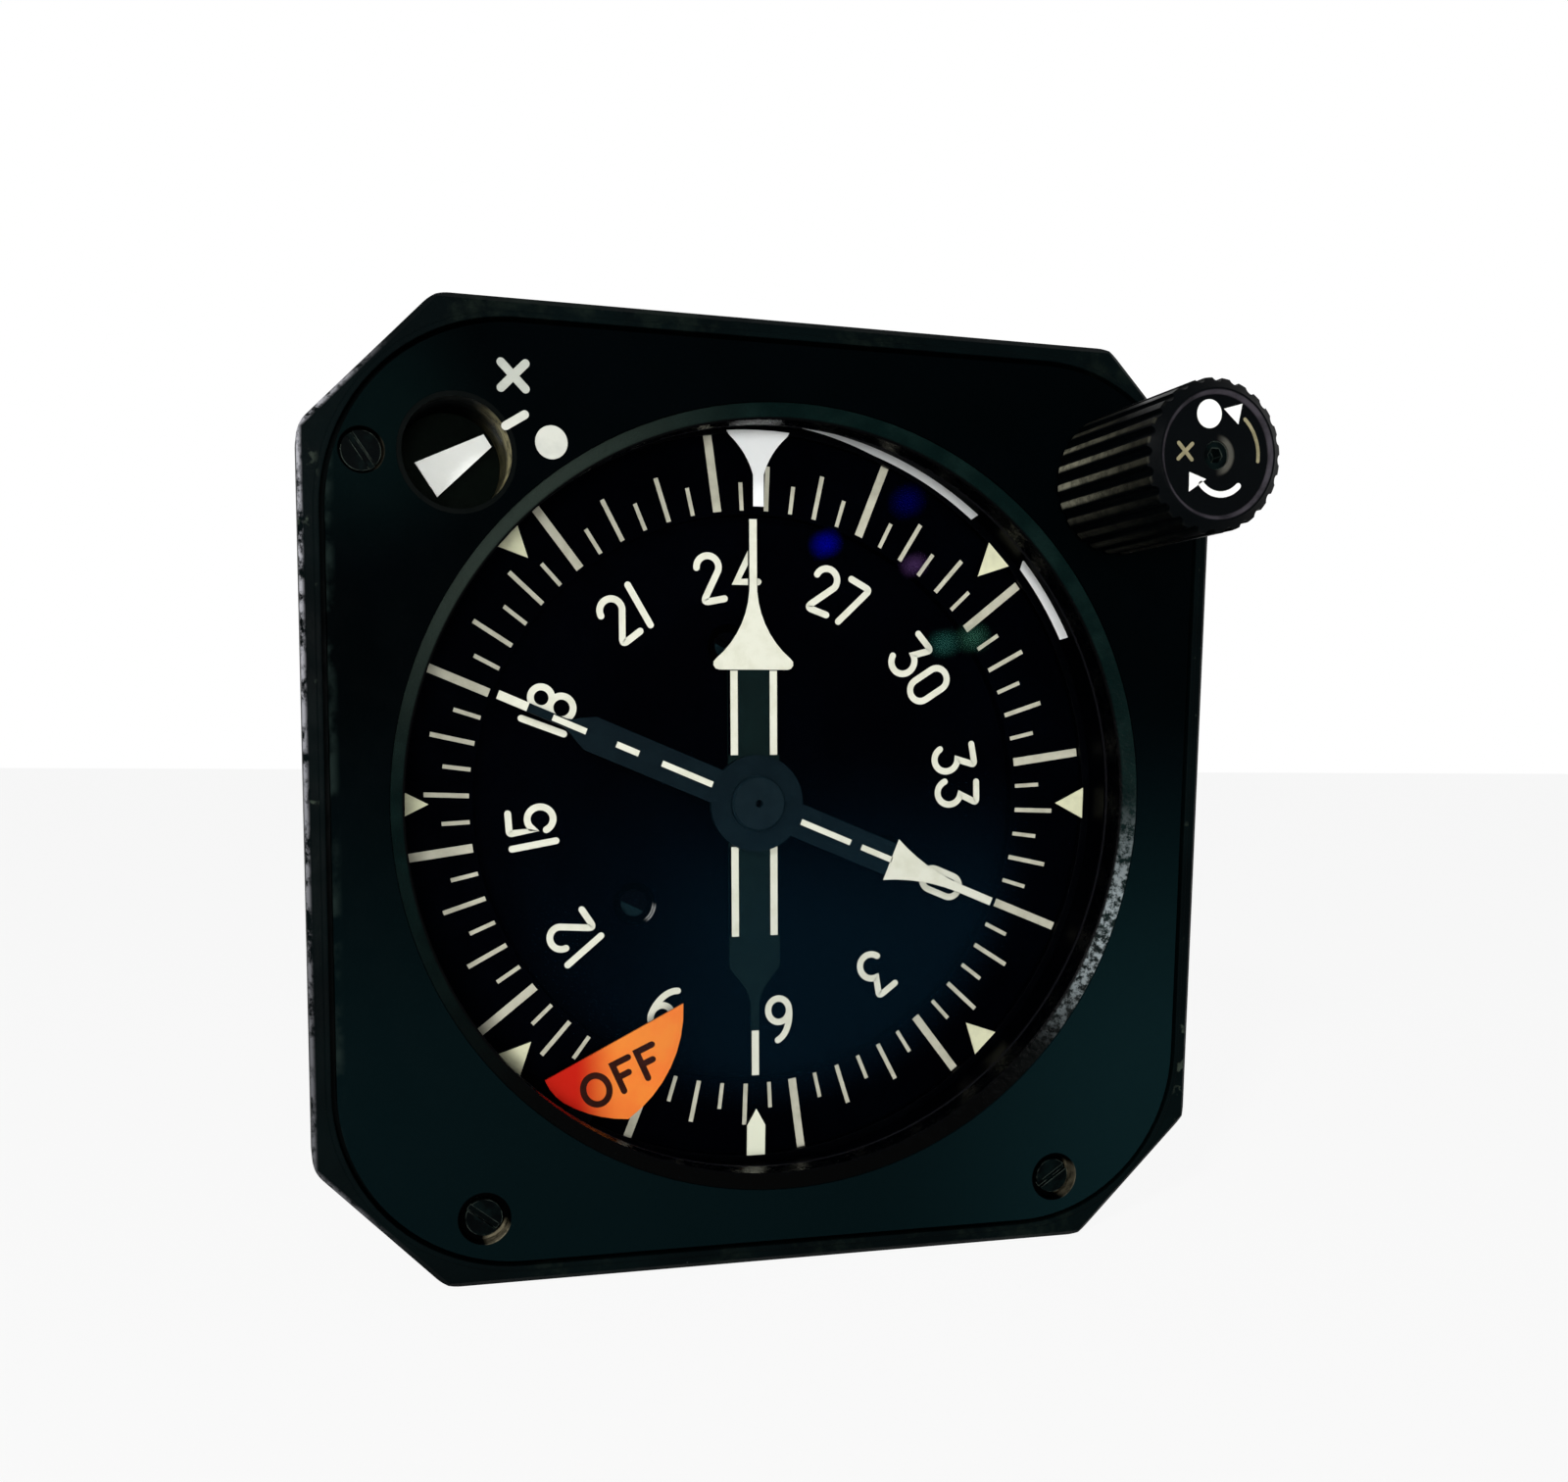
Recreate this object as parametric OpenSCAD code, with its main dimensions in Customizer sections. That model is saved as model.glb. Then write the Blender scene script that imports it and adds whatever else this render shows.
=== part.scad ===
// Panel compass indicator with a turning card, two bearing pointers, an OFF flag,
// a synchronising annunciator and its knob, in a clamped square case.
// The face looks along -Y. Depths are measured back from the flange's front face,
// and the origin is the middle of the flange's rear face, which seats on the panel.

/* [Flange] */
// Width and height of the square flange
flange_w = 82.55; // [81.5:0.05:86]
// Thickness of the flange
flange_t = 4; // [3.4:0.1:5]
// Length of each 45 degree corner cut, measured along the side
corner_cut = 11; // [9:0.5:12]
// Radius that rounds each end of the corner cuts
corner_round = 3; // [1:0.5:5]
// Bevel round the front edge of the flange
edge_bevel = 0.5; // [0.2:0.1:0.8]
// Height of the thin lip round the face plate's pocket
lip_h = 0.25; // [0.15:0.05:0.3]
// Width of the thin lip round the face plate's pocket
lip_w = 0.45; // [0.3:0.05:0.6]

/* [Face plate] */
// Distance from the flange's edge to the edge of the face plate
plate_margin = 2.1; // [1.9:0.05:2.4]
// Corner radius of the face plate
plate_corner_r = 15.5; // [13:0.5:16.5]
// Thickness of the face plate
plate_t = 2.5; // [2.2:0.1:2.8]
// How far the face plate stands proud of the flange
plate_proud = 0.3; // [0.1:0.05:0.4]
// Width of the groove between the face plate and its pocket
groove_w = 0.45; // [0.3:0.05:0.6]
// Radius of the face plate screws' heads
screw_head_r = 1.6; // [1.45:0.05:1.7]
// Radius of the face plate screws' shanks
screw_shank_r = 0.9; // [0.8:0.05:1]
// Depth of the screw recesses in the face plate
screw_recess = 1.5; // [1.3:0.1:1.6]

/* [Glass and rings] */
// Distance from the flange's edge to the edge of the cover glass
glass_in = 5.975; // [5.925:0.025:6.1]
// How far the bezel ring laps over the glass, out from the mouth
mouth_lap = 2.1; // [1.95:0.05:2.3]
// Width of the bezel ring's visible band
band_w = 1.25; // [1:0.05:1.3]
// Depth of the bevel on the bezel ring
band_depth = 0.9; // [0.6:0.1:1.2]
// Thickness of the cover glass
glass_t = 2; // [1.6:0.1:2.4]
// Thickness of the glass gasket
gasket_t = 0.4; // [0.3:0.05:0.6]
// Wall of the dark ring round the well
well_wall = 1.1; // [0.9:0.05:1.4]
// How far the index ring hides behind the edge of the mouth
index_hidden = 0.3; // [0.1:0.05:0.4]
// Thickness of the index ring
index_t = 0.4; // [0.3:0.05:0.5]

/* [Card] */
// Distance from the edge of the cover glass in to the edge of the card
card_in = 0.7; // [0.65:0.05:0.9]
// Depth of the card's scale ring behind the flange's front face
card_depth = 9.63; // [9.4:0.05:9.9]
// Width of the card's scale ring
scale_w = 8.15; // [8:0.05:8.3]
// How far the numeral disc is sunk below the scale ring
sunk_depth = 1.2; // [1:0.05:1.3]
// Thickness of the numeral disc
disc_t = 1.2; // [1.1:0.05:1.4]
// Distance of the card screws from the dial's centre
card_screw_r = 14.75; // [13.5:0.05:16.5]

/* [Pointers] */
// Depth of the wide pointer behind the flange's front face
wide_depth = 10.05; // [9.95:0.05:10.15]
// Depth of the narrow pointer behind the flange's front face
narrow_depth = 9.05; // [8.95:0.05:9.15]
// Thickness of each pointer
pointer_t = 0.3; // [0.2:0.05:0.35]
// Gap between the pointers' tips and the card's scale ring
tip_gap = 0.35; // [0.3:0.05:1.2]
// Width of the wide pointer's bar
wide_bar_w = 5; // [4.4:0.1:5.4]
// Width of the narrow pointer's bar
narrow_bar_w = 3.2; // [2.8:0.1:3.6]
// Direction of the wide pointer's head, degrees clockwise from the top
wide_heading = 359.1; // [0:0.1:359.9]
// Direction of the narrow pointer, clockwise from the top
narrow_heading = 111.8; // [100:0.1:125]
// Radius of the boss over both pointers
boss_r = 4.5; // [4.2:0.05:4.8]
// Radius of the cap on the boss
cap_r = 2.6; // [2.2:0.05:3]

/* [Annunciator] */
// Gap between the annunciator's sleeve and the edge of the cover glass
window_gap = 0.4; // [0.35:0.05:0.6]
// Radius of the annunciator's opening
window_r = 4.45; // [4.2:0.05:4.5]
// Depth of the annunciator's floor behind the flange's front face
window_depth = 6.9; // [6.5:0.1:7.5]
// Gap between the ends of the annunciator's needle and its sleeve
needle_gap = 0.45; // [0.4:0.05:1]

/* [Knob] */
// Distance of the knob's centre from the flange's right edge
knob_in = 10.4; // [10.2:0.05:10.6]
// Distance of the knob's centre from the flange's top edge
knob_down = 12.15; // [12:0.05:12.3]
// Radius of the knob over its flutes
knob_r = 6.2; // [5.8:0.1:6.4]
// Distance from the flange's front face to the knob's face
knob_reach = 16.7; // [13:0.1:20]
// Number of flutes round the knob
flutes = 24; // [18:1:30]
// Width of the bevel round the knob's face
knob_bevel = 0.9; // [0.7:0.1:1.2]

/* [Case] */
// How far the case stands inside the flange's edge
case_inset = 3.275; // [3:0.025:3.3]
// Length of the case's 45 degree corner cut
case_cut = 7; // [6:0.1:7]
// Thickness of the case's wall
case_wall = 1.6; // [1.2:0.1:1.7]
// Depth of the case behind the panel seat
case_depth = 88; // [84:1:130]
// Thickness of the rear cover
cover_t = 3; // [2.4:0.1:4]
// Distance of each rear connector from the middle of the case
connector_x = 16.5; // [14.5:0.5:19]
// Outer radius of the rear connectors' shells
connector_r = 9.5; // [9:0.1:10.5]
// Length of the rear connectors' shells
connector_len = 12; // [11:0.5:16]
// Width of the square flange on each rear connector
connector_flange = 25; // [22:0.5:28]
// Depth of the plug socket in each rear connector
socket_depth = 9.5; // [8:0.5:10]

/* [Movement] */
// Thickness of the chassis plates
frame_t = 2.5; // [2:0.1:3]
// Thickness of the gears
gear_t = 2; // [1.5:0.1:2.4]
// Gear tooth module
gear_module = 0.5; // [0.48:0.01:0.5]
// Outer radius of the card's hollow shaft
card_tube_r = 4.6; // [4.3:0.1:5]
// Outer radius of the wide pointer's hollow shaft
wide_tube_r = 2.6; // [2.3:0.1:2.7]
// Radius of the narrow pointer's shaft
narrow_shaft_r = 1.2; // [1:0.05:1.3]
// Radius of the synchro and motor cans
can_r = 9; // [8:0.1:9.5]
// Length of the synchro and motor cans
can_len = 23.5; // [20:0.5:28]

/* [Hidden] */

$fn = 96;
// Overrun of a cutting tool past the face that it cuts
cut = 0.5;
// Radial clearance of a shaft that turns in its bearing
running = 0.04;
// Clearance of a fixed piece that is slipped into its seat
slip = 0.1;

half_w = flange_w / 2;
plate_w = flange_w - 2 * plate_margin;
pocket_w = plate_w + 2 * groove_w;
pocket_d = plate_t - plate_proud;
case_w = flange_w - 2 * case_inset;
rebate_in = case_wall + slip;

// Radii of the stack and of the card, from the edge of the flange inwards
stack_r = half_w - glass_in;
mouth_r = stack_r - mouth_lap;
band_r = mouth_r + band_w;
well_r = stack_r - well_wall;
index_r = mouth_r + index_hidden;
card_r = stack_r - card_in;
sunk_r = card_r - scale_w;
pointer_reach = sunk_r - tip_gap;
needle_half_len = window_r - needle_gap;

// Depths of the stack between the bezel ring and its ledge in the casting
shoulder_t = 0.8;
gasket_d = pocket_d + shoulder_t;
glass_d = gasket_d + gasket_t;
well_d = glass_d + glass_t;
index_gap = 0.83;
ledge_d = card_depth - index_gap;
index_d = ledge_d - index_t;
mark_t = 0.1;

// The casting's rear face carries the chassis
rebate_d = 8;
disc_d = card_depth + sunk_depth;
card_back_d = disc_d + disc_t;
hub_t = 1.5;
hub_gap = 0.77;
casting_d = card_back_d + hub_t + hub_gap;
card_gap = 0.3;
hub_r = 8;

gear_front_gap = 2;
gear_gap = 0.8;
card_gear_d = casting_d + frame_t + gear_front_gap;
wide_gear_d = card_gear_d + gear_t + gear_gap;
middle_d = wide_gear_d + gear_t + gear_gap;
can_d = middle_d + frame_t;
rear_plate_d = can_d + can_len;
board_gap = 13.5;
board_d = rear_plate_d + frame_t + board_gap;
board_t = 1.6;
cover_d = flange_t + case_depth;
connector_d = cover_d + cover_t;

// Tooth counts and centre distances; a little is added so that the teeth run free
card_teeth = 96;
motor_teeth = 18;
wide_teeth = 48;
knob_teeth = 16;
sync_teeth = 30;
mesh_ease = 0.05;
addendum = 0.8;
dedendum = 1.05;
pressure = 20;
tooth_play = 0.04;
function mesh_distance(a, b) = gear_module * (a + b) / 2 + mesh_ease;

// Angles of the geared shafts round the dial's axis, counted from +X towards +Z
motor_dir = -45;
synchro_dir = 135;
motor_at = mesh_distance(card_teeth, motor_teeth) * [cos(motor_dir), sin(motor_dir)];
synchro_at = mesh_distance(wide_teeth, wide_teeth) * [cos(synchro_dir), sin(synchro_dir)];

knob_at = [half_w - knob_in, half_w - knob_down];
knob_base = 1;
knob_face_r = knob_r - knob_bevel;
knob_shaft_r = 1.5;
knob_bush_r = 3;
bush_lip = 1.2;
sync_dir = direction(-knob_at);
sync_at = knob_at + mesh_distance(knob_teeth, sync_teeth) * [cos(sync_dir), sin(sync_dir)];
sync_can_r = 7;
can_step = 2;
motor_shaft_r = 1;

sleeve_wall = 0.4;
annunciator_at = (stack_r + window_gap + sleeve_wall + window_r) * [-1, 1] / sqrt(2);
needle_dir = 56;
needle_t = 0.25;
needle_lift = 0.5;
needle_staff_r = 0.4;

// The flag turns about a staff behind the bezel and swings out of sight into a corner pocket.
// Its places are shares of the mouth's radius.
flag_at = mouth_r * [-0.5783, -0.9518];
flag_d = 7.2;
flag_t = 0.25;
arm_t = 0.3;
flag_staff_r = 0.6;
flag_swing = 105;
flag_left = mouth_r * [-0.6175, -0.753];
flag_tip = mouth_r * [-0.2274, -0.5542];
flag_low = mouth_r * [-0.384, -0.8735];
flag_heel = mouth_r * [-0.5663, -0.8178];
flag_foot = mouth_r * [-0.4646, -0.7651];
flag_clear = 0.5;
flag_can_r = 4.2;
arm_boss_r = 1.6;
arm_half = [1.08, 1.25];
pocket_wall = 1;
pocket_clear = 0.25;
pocket_front = flag_d - flag_clear;
pocket_back = flag_d + flag_t + arm_t + pocket_clear;

// Plate screws: place, recess radius and the direction of the slot
screw_near = 2.9;
screw_far = 10.7;
low_screw_in = 12.1;
low_screw_up = 4;
tight_recess_r = screw_head_r + 0.2;
wide_recess_r = screw_head_r + 0.65;
screws = [
    [screw_near - plate_w / 2, plate_w / 2 - screw_far, tight_recess_r, -35],
    [low_screw_in - plate_w / 2, low_screw_up - plate_w / 2, wide_recess_r, -52],
    [plate_w / 2 - low_screw_in, low_screw_up - plate_w / 2, wide_recess_r, 56]];
screw_head_t = 1.1;
screw_end_d = 6.2;
slot_w = 0.55;
slot_depth = 0.45;

card_screw_dirs = [-129.5, -9.5, 110.5];
card_screw_slot = 115.5;
card_screw_head_r = 1.3;
card_recess_r = 2;
card_screw_sink = 0.85;
card_head_t = 0.5;
card_slot_depth = 0.3;
spider_r = 3;
card_hole_gap = 0.4;
bearing_wall = 2.4;
lightening_r = 4.6;
lightening_at = 14;

post_r = 2;
post_in = 4.8;
corner_screw_in = 2.8;
corner_screw_at = (case_w - case_cut) / 2 - corner_screw_in;
boss_case_r = 3;
boss_len = 8;
corner_hole_len = 7;
corner_screw_len = 6;

// Drawing helpers
// Puts a drawing at a depth: its x and y stay right and up, and its z points at the viewer
module at_depth(d) translate([0, d - flange_t, 0]) rotate([90, 0, 0]) children();

// Fills the depth from front to back with an outline
module slab(front, back) at_depth(back) linear_extrude(back - front) children();

// Turns a profile of [radius, depth] points about an axis square to the face
module turned(profile, at = [0, 0])
    translate([at[0], -flange_t, at[1]]) rotate([-90, 0, 0]) rotate_extrude() polygon(profile);

// A round rod or a round cutter between two depths
module rod(r, front, back, at = [0, 0], fn = 64)
    slab(front, back) translate(at) circle(r, $fn = fn);

// Turns a drawing that points up to a direction clockwise from the top
module clock(dir) rotate(-dir) children();

// A square with 45 degree corner cuts, moved in all round by inset
module octagon(w, c, inset = 0) {
    h = w / 2 - inset;
    k = h - (c - inset * (2 - sqrt(2)));
    polygon([[h, -k], [h, k], [k, h], [-k, h], [-h, k], [-h, -k], [-k, -h], [k, -h]]);
}

// A square with cut corners, each end of a cut rounded to radius r
module round_octagon(w, c, r) {
    h = w / 2;
    k = h - c;
    t = r * tan(22.5);
    s = t / sqrt(2);
    side = [[h, t - k], [h, k - t], [h - s, k + s], [k + s, h - s]];
    polygon(concat(side, [for (p = side) [-p[1], p[0]]], -side, [for (p = side) [p[1], -p[0]]]));
    for (i = [0 : 3]) rotate(90 * i) {
        translate([h - r, k - t]) circle(r);
        translate([k - t, h - r]) circle(r);
    }
}

// A square with round corners
module round_square(w, r) {
    square([w - 2 * r, w], center = true);
    square([w, w - 2 * r], center = true);
    for (x = [-1, 1], y = [-1, 1]) translate([x, y] * (w / 2 - r)) circle(r);
}

// A flat ring
module ring(outer, inner) difference() {
    circle(outer);
    circle(inner);
}

// Points on an arc from a to b that bows out to the right of the way by the given height
function bow(a, b, height, n = 8) =
    let (
        chord = norm(b - a),
        r = (chord * chord / 4 + height * height) / (2 * abs(height)),
        along = (b - a) / chord,
        right = [along[1], -along[0]] * sign(height),
        mid = (a + b) / 2 + right * (abs(height) - r),
        sweep = asin(chord / 2 / r)
    )
    [for (i = [0 : n]) let (t = sweep * (2 * i / n - 1)) mid + r * (right * cos(t) + along * sin(t))];

// Mirror image of an outline's points across the y axis, in the reverse order
function mirrored(points) = [for (i = [len(points) - 1 : -1 : 0]) [-points[i][0], points[i][1]]];

// Direction of a vector, counted from +x towards +y
function direction(v) = atan2(v[1], v[0]);

function inv(a) = tan(a) - a * PI / 180;

// Half of a tooth's angle at radius r, from the involute of its base circle
function tooth_half(teeth, r) =
    let (
        pitch_r = gear_module * teeth / 2,
        base_r = pitch_r * cos(pressure),
        at = max(r, base_r)
    )
    90 / teeth - (tooth_play / pitch_r / 2 + inv(acos(base_r / at)) - inv(pressure)) * 180 / PI;

// Spur gear outline with a tooth centred on direction phase, counted from +x
module gear_outline(teeth, phase) {
    pitch_r = gear_module * teeth / 2;
    tip_r = pitch_r + addendum * gear_module;
    root_r = pitch_r - dedendum * gear_module;
    flank = [root_r, pitch_r, tip_r];
    polygon([for (i = [0 : teeth - 1])
        let (mid = phase + 360 * i / teeth)
        for (p = concat(
            [for (r = flank) [r, mid - tooth_half(teeth, r)]],
            [for (j = [2 : -1 : 0]) [flank[j], mid + tooth_half(teeth, flank[j])]]))
        p[0] * [cos(p[1]), sin(p[1])]]);
}

// A slotted round head that faces the viewer, from depth d back to d + t
module slotted_head(r, d, t, dir, deep = slot_depth) difference() {
    slab(d, d + t) circle(r, $fn = 48);
    slab(d - cut, d + deep) clock(dir) square([slot_w, 2 * r + 1], center = true);
}

// A cutter that bevels one straight front edge at a distance from the axis
module edge_cutter(distance, dir)
    translate([0, -flange_t, 0]) rotate([0, -dir, 0]) translate([distance, 0, 0])
        rotate([0, 0, 45]) cube([edge_bevel * sqrt(2), edge_bevel * sqrt(2), flange_w], center = true);

// The space that the flag and its arm sweep through
module flag_sweep(gap) {
    reach = norm(flag_tip - flag_at) + gap;
    from = direction(flag_low - flag_at) - 4;
    to = direction(flag_left - flag_at) + flag_swing + 4;
    translate(flag_at) {
        circle(arm_boss_r + gap);
        intersection() {
            circle(reach);
            polygon(concat([[0, 0]], [for (i = [0 : 8])
                let (a = from + (to - from) * i / 8) 2 * reach * [cos(a), sin(a)]]));
        }
    }
}

module flag_pocket()
    slab(pocket_front, pocket_back) intersection() {
        flag_sweep(flag_clear);
        octagon(case_w, case_cut, pocket_wall);
    }

// Front casting
module front_casting() color([0.13, 0.15, 0.16]) difference() {
    union() {
        slab(0, flange_t) round_octagon(flange_w, corner_cut, corner_round);
        slab(-lip_h, 0) difference() {
            round_square(pocket_w + 2 * lip_w, plate_corner_r + groove_w + lip_w);
            round_square(pocket_w, plate_corner_r + groove_w);
        }
        slab(flange_t, rebate_d) octagon(case_w, case_cut);
        slab(rebate_d, casting_d) octagon(case_w, case_cut, rebate_in);
    }
    slab(-cut, pocket_d) round_square(pocket_w, plate_corner_r + groove_w);
    rod(stack_r + slip / 2, 0, ledge_d, fn = 96);
    rod(card_r + card_gap, 0, casting_d + cut, fn = 96);
    rod(window_r + sleeve_wall, 0, casting_d + cut, annunciator_at);
    rod(knob_bush_r, 0, casting_d + cut, knob_at);
    for (s = screws) rod(screw_shank_r, 0, screw_end_d, [s[0], s[1]], 32);
    flag_pocket();
    rod(flag_staff_r + running, flag_d, casting_d + cut, flag_at, 32);
    for (i = [0 : 3]) {
        edge_cutter(half_w, 90 * i);
        edge_cutter((flange_w - corner_cut) / sqrt(2), 90 * i + 45);
    }
    case_screw_places() cylinder(r = case_screw_r, h = 2 * case_screw_len + slip, center = true, $fn = 32);
}

// The plate that fills the front, black and matt
module face_plate() color([0.09, 0.12, 0.13]) difference() {
    slab(-plate_proud, pocket_d) round_square(plate_w, plate_corner_r);
    rod(band_r + slip / 2, -plate_proud - cut, pocket_d + cut, fn = 96);
    rod(window_r + sleeve_wall, -plate_proud - cut, pocket_d + cut, annunciator_at);
    rod(knob_bush_r, -plate_proud - cut, pocket_d + cut, knob_at);
    for (s = screws) {
        rod(s[2], -plate_proud - cut, screw_recess - plate_proud, [s[0], s[1]], 48);
        rod(screw_shank_r, 0, pocket_d + cut, [s[0], s[1]], 32);
    }
}

module face_plate_screws() color([0.2, 0.23, 0.23])
    for (s = screws) {
        head_d = screw_recess - plate_proud - screw_head_t;
        translate([s[0], 0, s[1]]) slotted_head(screw_head_r, head_d, screw_head_t, s[3]);
        rod(screw_shank_r, screw_recess - plate_proud, screw_end_d, [s[0], s[1]], 32);
    }

// Bezel ring: a bevelled band in front, with a shoulder that clamps the glass
module bezel_ring() color([0.3, 0.35, 0.36])
    turned([[band_r, -plate_proud / 2], [mouth_r, band_depth - plate_proud / 2], [mouth_r, gasket_d],
        [stack_r, gasket_d], [stack_r, pocket_d], [band_r, pocket_d]]);

module glass_gasket() color([0.1, 0.1, 0.1])
    turned([[mouth_r, gasket_d], [stack_r, gasket_d], [stack_r, glass_d], [mouth_r, glass_d]]);

module cover_glass() color([0.6, 0.7, 0.8, 0.3]) rod(stack_r, glass_d, well_d, fn = 96);

module well_ring() color([0.05, 0.05, 0.06]) difference() {
    turned([[well_r, well_d], [stack_r, well_d], [stack_r, index_d], [well_r, index_d]]);
    flag_pocket();
}

// Half widths and radii of the marks in front of the card
mark_lap = 0.25;
lubber_top_r = index_r + mark_lap;
lubber_half = 3.05;
lubber_lip = 0.45;
lubber_waist = 2.6;
lubber_shoulder = 0.65;
lubber_bow = 0.28;
lubber_dir = -0.9;
lubber_stem = 0.5;
lubber_neck_r = index_r - 3.7;
lubber_tip_r = index_r - 6.5;
tail_mark_half = 0.9;
tail_mark_tip_r = index_r - 4.5;
tail_mark_neck_r = index_r - 2.9;
arrow_tip_r = index_r - 3;
arrow_half = 1.5;

module lubber_outline() {
    right = concat([[lubber_half, lubber_top_r], [lubber_half - mark_lap, lubber_top_r - lubber_lip]],
        bow([lubber_waist, lubber_top_r - lubber_shoulder], [lubber_stem, lubber_neck_r], lubber_bow),
        [[lubber_stem, lubber_tip_r]]);
    polygon(concat(right, mirrored(right)));
}

module tail_mark_outline()
    polygon([[0, tail_mark_tip_r], [tail_mark_half, tail_mark_neck_r], [tail_mark_half, index_r],
        [-tail_mark_half, index_r], [-tail_mark_half, tail_mark_neck_r]]);

module arrow_outline()
    polygon([[0, arrow_tip_r], [arrow_half, index_r], [-arrow_half, index_r]]);

// Every mark at its own place round the dial
module all_marks() {
    clock(lubber_dir) lubber_outline();
    clock(180) tail_mark_outline();
    for (dir = [45, 90, 135, 225, 270, 315]) clock(dir) arrow_outline();
}

module index_ring() color([0.06, 0.06, 0.08])
    slab(index_d, ledge_d) {
        ring(stack_r, index_r);
        all_marks();
    }

module index_marks() color([0.93, 0.93, 0.88])
    slab(index_d - mark_t, index_d) intersection() {
        all_marks();
        circle(lubber_top_r);
    }

// Annunciator
module annunciator_sleeve() color([0.45, 0.42, 0.33])
    slab(-plate_proud, window_depth) translate(annunciator_at) ring(window_r + sleeve_wall, window_r);

window_glass_d = 3;
window_glass_t = 0.8;
window_step = 0.2;
needle_pivot_depth = 3;
needle_tip_half = 0.6;
needle_tail_half = 1.65;
needle_share = 0.57;
module annunciator_glass() color([0.6, 0.7, 0.8, 0.3])
    rod(window_r, window_glass_d, window_glass_d + window_glass_t, annunciator_at);

module annunciator_movement() color([0.1, 0.13, 0.13]) difference() {
    union() {
        rod(window_r + sleeve_wall, window_depth, casting_d, annunciator_at);
        rod(window_r, window_depth - window_step, window_depth, annunciator_at);
    }
    rod(needle_staff_r + running, 0, window_depth + needle_pivot_depth + window_step,
        annunciator_at, 32);
}

module annunciator_needle() color([0.95, 0.95, 0.93]) {
    front = window_depth - needle_lift - needle_t - window_step;
    tail = -needle_share * needle_half_len;
    slab(front, front + needle_t) translate(annunciator_at) clock(needle_dir)
        polygon([[-needle_tip_half, needle_half_len], [needle_tip_half, needle_half_len],
            [needle_tail_half, tail], [-needle_tail_half, tail]]);
    rod(needle_staff_r, front + needle_t, window_depth + needle_pivot_depth, annunciator_at, 32);
}

// Compass card and its drive
module compass_card() color([0.07, 0.1, 0.12]) difference() {
    hole_r = wide_tube_r + card_hole_gap;
    turned([[hole_r, disc_d], [sunk_r, disc_d], [sunk_r, card_depth], [card_r, card_depth],
        [card_r, card_back_d], [hole_r, card_back_d]]);
    for (dir = card_screw_dirs) card_screw_place(dir) {
        rod(card_recess_r, card_depth, disc_d + card_screw_sink, fn = 48);
        rod(screw_shank_r, card_depth, card_back_d + cut, fn = 32);
    }
}

module card_screw_place(dir)
    translate([card_screw_r * sin(dir), 0, card_screw_r * cos(dir)]) children();

module card_screws() color([0.15, 0.17, 0.18])
    for (dir = card_screw_dirs) card_screw_place(dir) {
        seat_d = disc_d + card_screw_sink;
        slotted_head(card_screw_head_r, seat_d - card_head_t, card_head_t, card_screw_slot, card_slot_depth);
        rod(screw_shank_r, seat_d, card_back_d + hub_t, fn = 32);
    }

// Hollow shaft with the spider that carries the card
module card_shaft() color([0.75, 0.75, 0.72]) difference() {
    union() {
        rod(card_tube_r, card_back_d, card_gear_d + gear_t);
        rod(hub_r, card_back_d, card_back_d + hub_t);
        slab(card_back_d, card_back_d + hub_t) for (dir = card_screw_dirs)
            clock(dir) {
                translate([-spider_r, 0]) square([2 * spider_r, card_screw_r]);
                translate([0, card_screw_r]) circle(spider_r, $fn = 48);
            }
    }
    rod(wide_tube_r + running, 0, card_gear_d + gear_t + cut);
    for (dir = card_screw_dirs) card_screw_place(dir) rod(screw_shank_r, 0, casting_d, fn = 32);
}

module geared_disc(teeth, bore, front, phase, at = [0, 0])
    slab(front, front + gear_t) translate(at) difference() {
        gear_outline(teeth, phase);
        circle(bore, $fn = 64);
    }

module card_gear() color([0.8, 0.68, 0.35]) difference() {
    geared_disc(card_teeth, card_tube_r, card_gear_d, motor_dir);
    for (i = [0 : 5]) rod(lightening_r, card_gear_d - cut, card_gear_d + gear_t + cut,
        lightening_at * [cos(60 * i), sin(60 * i)]);
}

module card_bearing() color([0.7, 0.55, 0.3])
    slab(casting_d, casting_d + frame_t) ring(card_tube_r + bearing_wall, card_tube_r + running);

// Wide pointer: a double bar with a broad head
head_base = pointer_reach - 13.7;
head_neck = pointer_reach - 5.5;
head_half = 3.95;
head_round = 0.6;
head_waist = 0.95;
needle_half = 0.4;
tail_taper = 10.5 - pointer_reach;
tail_neck = 6.7 - pointer_reach;
tail_waist = [1, 8.6 - pointer_reach];
tail_bow = 0.12;
wide_boss_r = 3.6;
wide_boss_t = 0.3;

module wide_outline() {
    shoulder = [head_half - head_round / 2, head_base + 5 / 3 * head_round];
    right = concat([[needle_half, -pointer_reach]],
        bow([needle_half, tail_neck], tail_waist, -tail_bow, 5),
        [[wide_bar_w / 2, tail_taper], [wide_bar_w / 2, head_base]],
        bow([head_half - head_round, head_base], shoulder, 2 / 3 * head_round, 4),
        bow(shoulder, [needle_half, head_neck], -head_waist),
        [[needle_half, pointer_reach]]);
    polygon(concat(right, mirrored(right)));
}

module wide_pointer() color([0.93, 0.93, 0.88]) difference() {
    union() {
        slab(wide_depth, wide_depth + pointer_t) clock(wide_heading) wide_outline();
        rod(wide_boss_r, wide_depth - wide_boss_t, wide_depth);
    }
    rod(wide_tube_r, 0, casting_d);
}

module wide_shaft() color([0.78, 0.78, 0.76])
    slab(wide_depth - wide_boss_t, middle_d + frame_t) ring(wide_tube_r, narrow_shaft_r + running);

module wide_gear() color([0.8, 0.68, 0.35])
    geared_disc(wide_teeth, wide_tube_r, wide_gear_d, synchro_dir);

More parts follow.
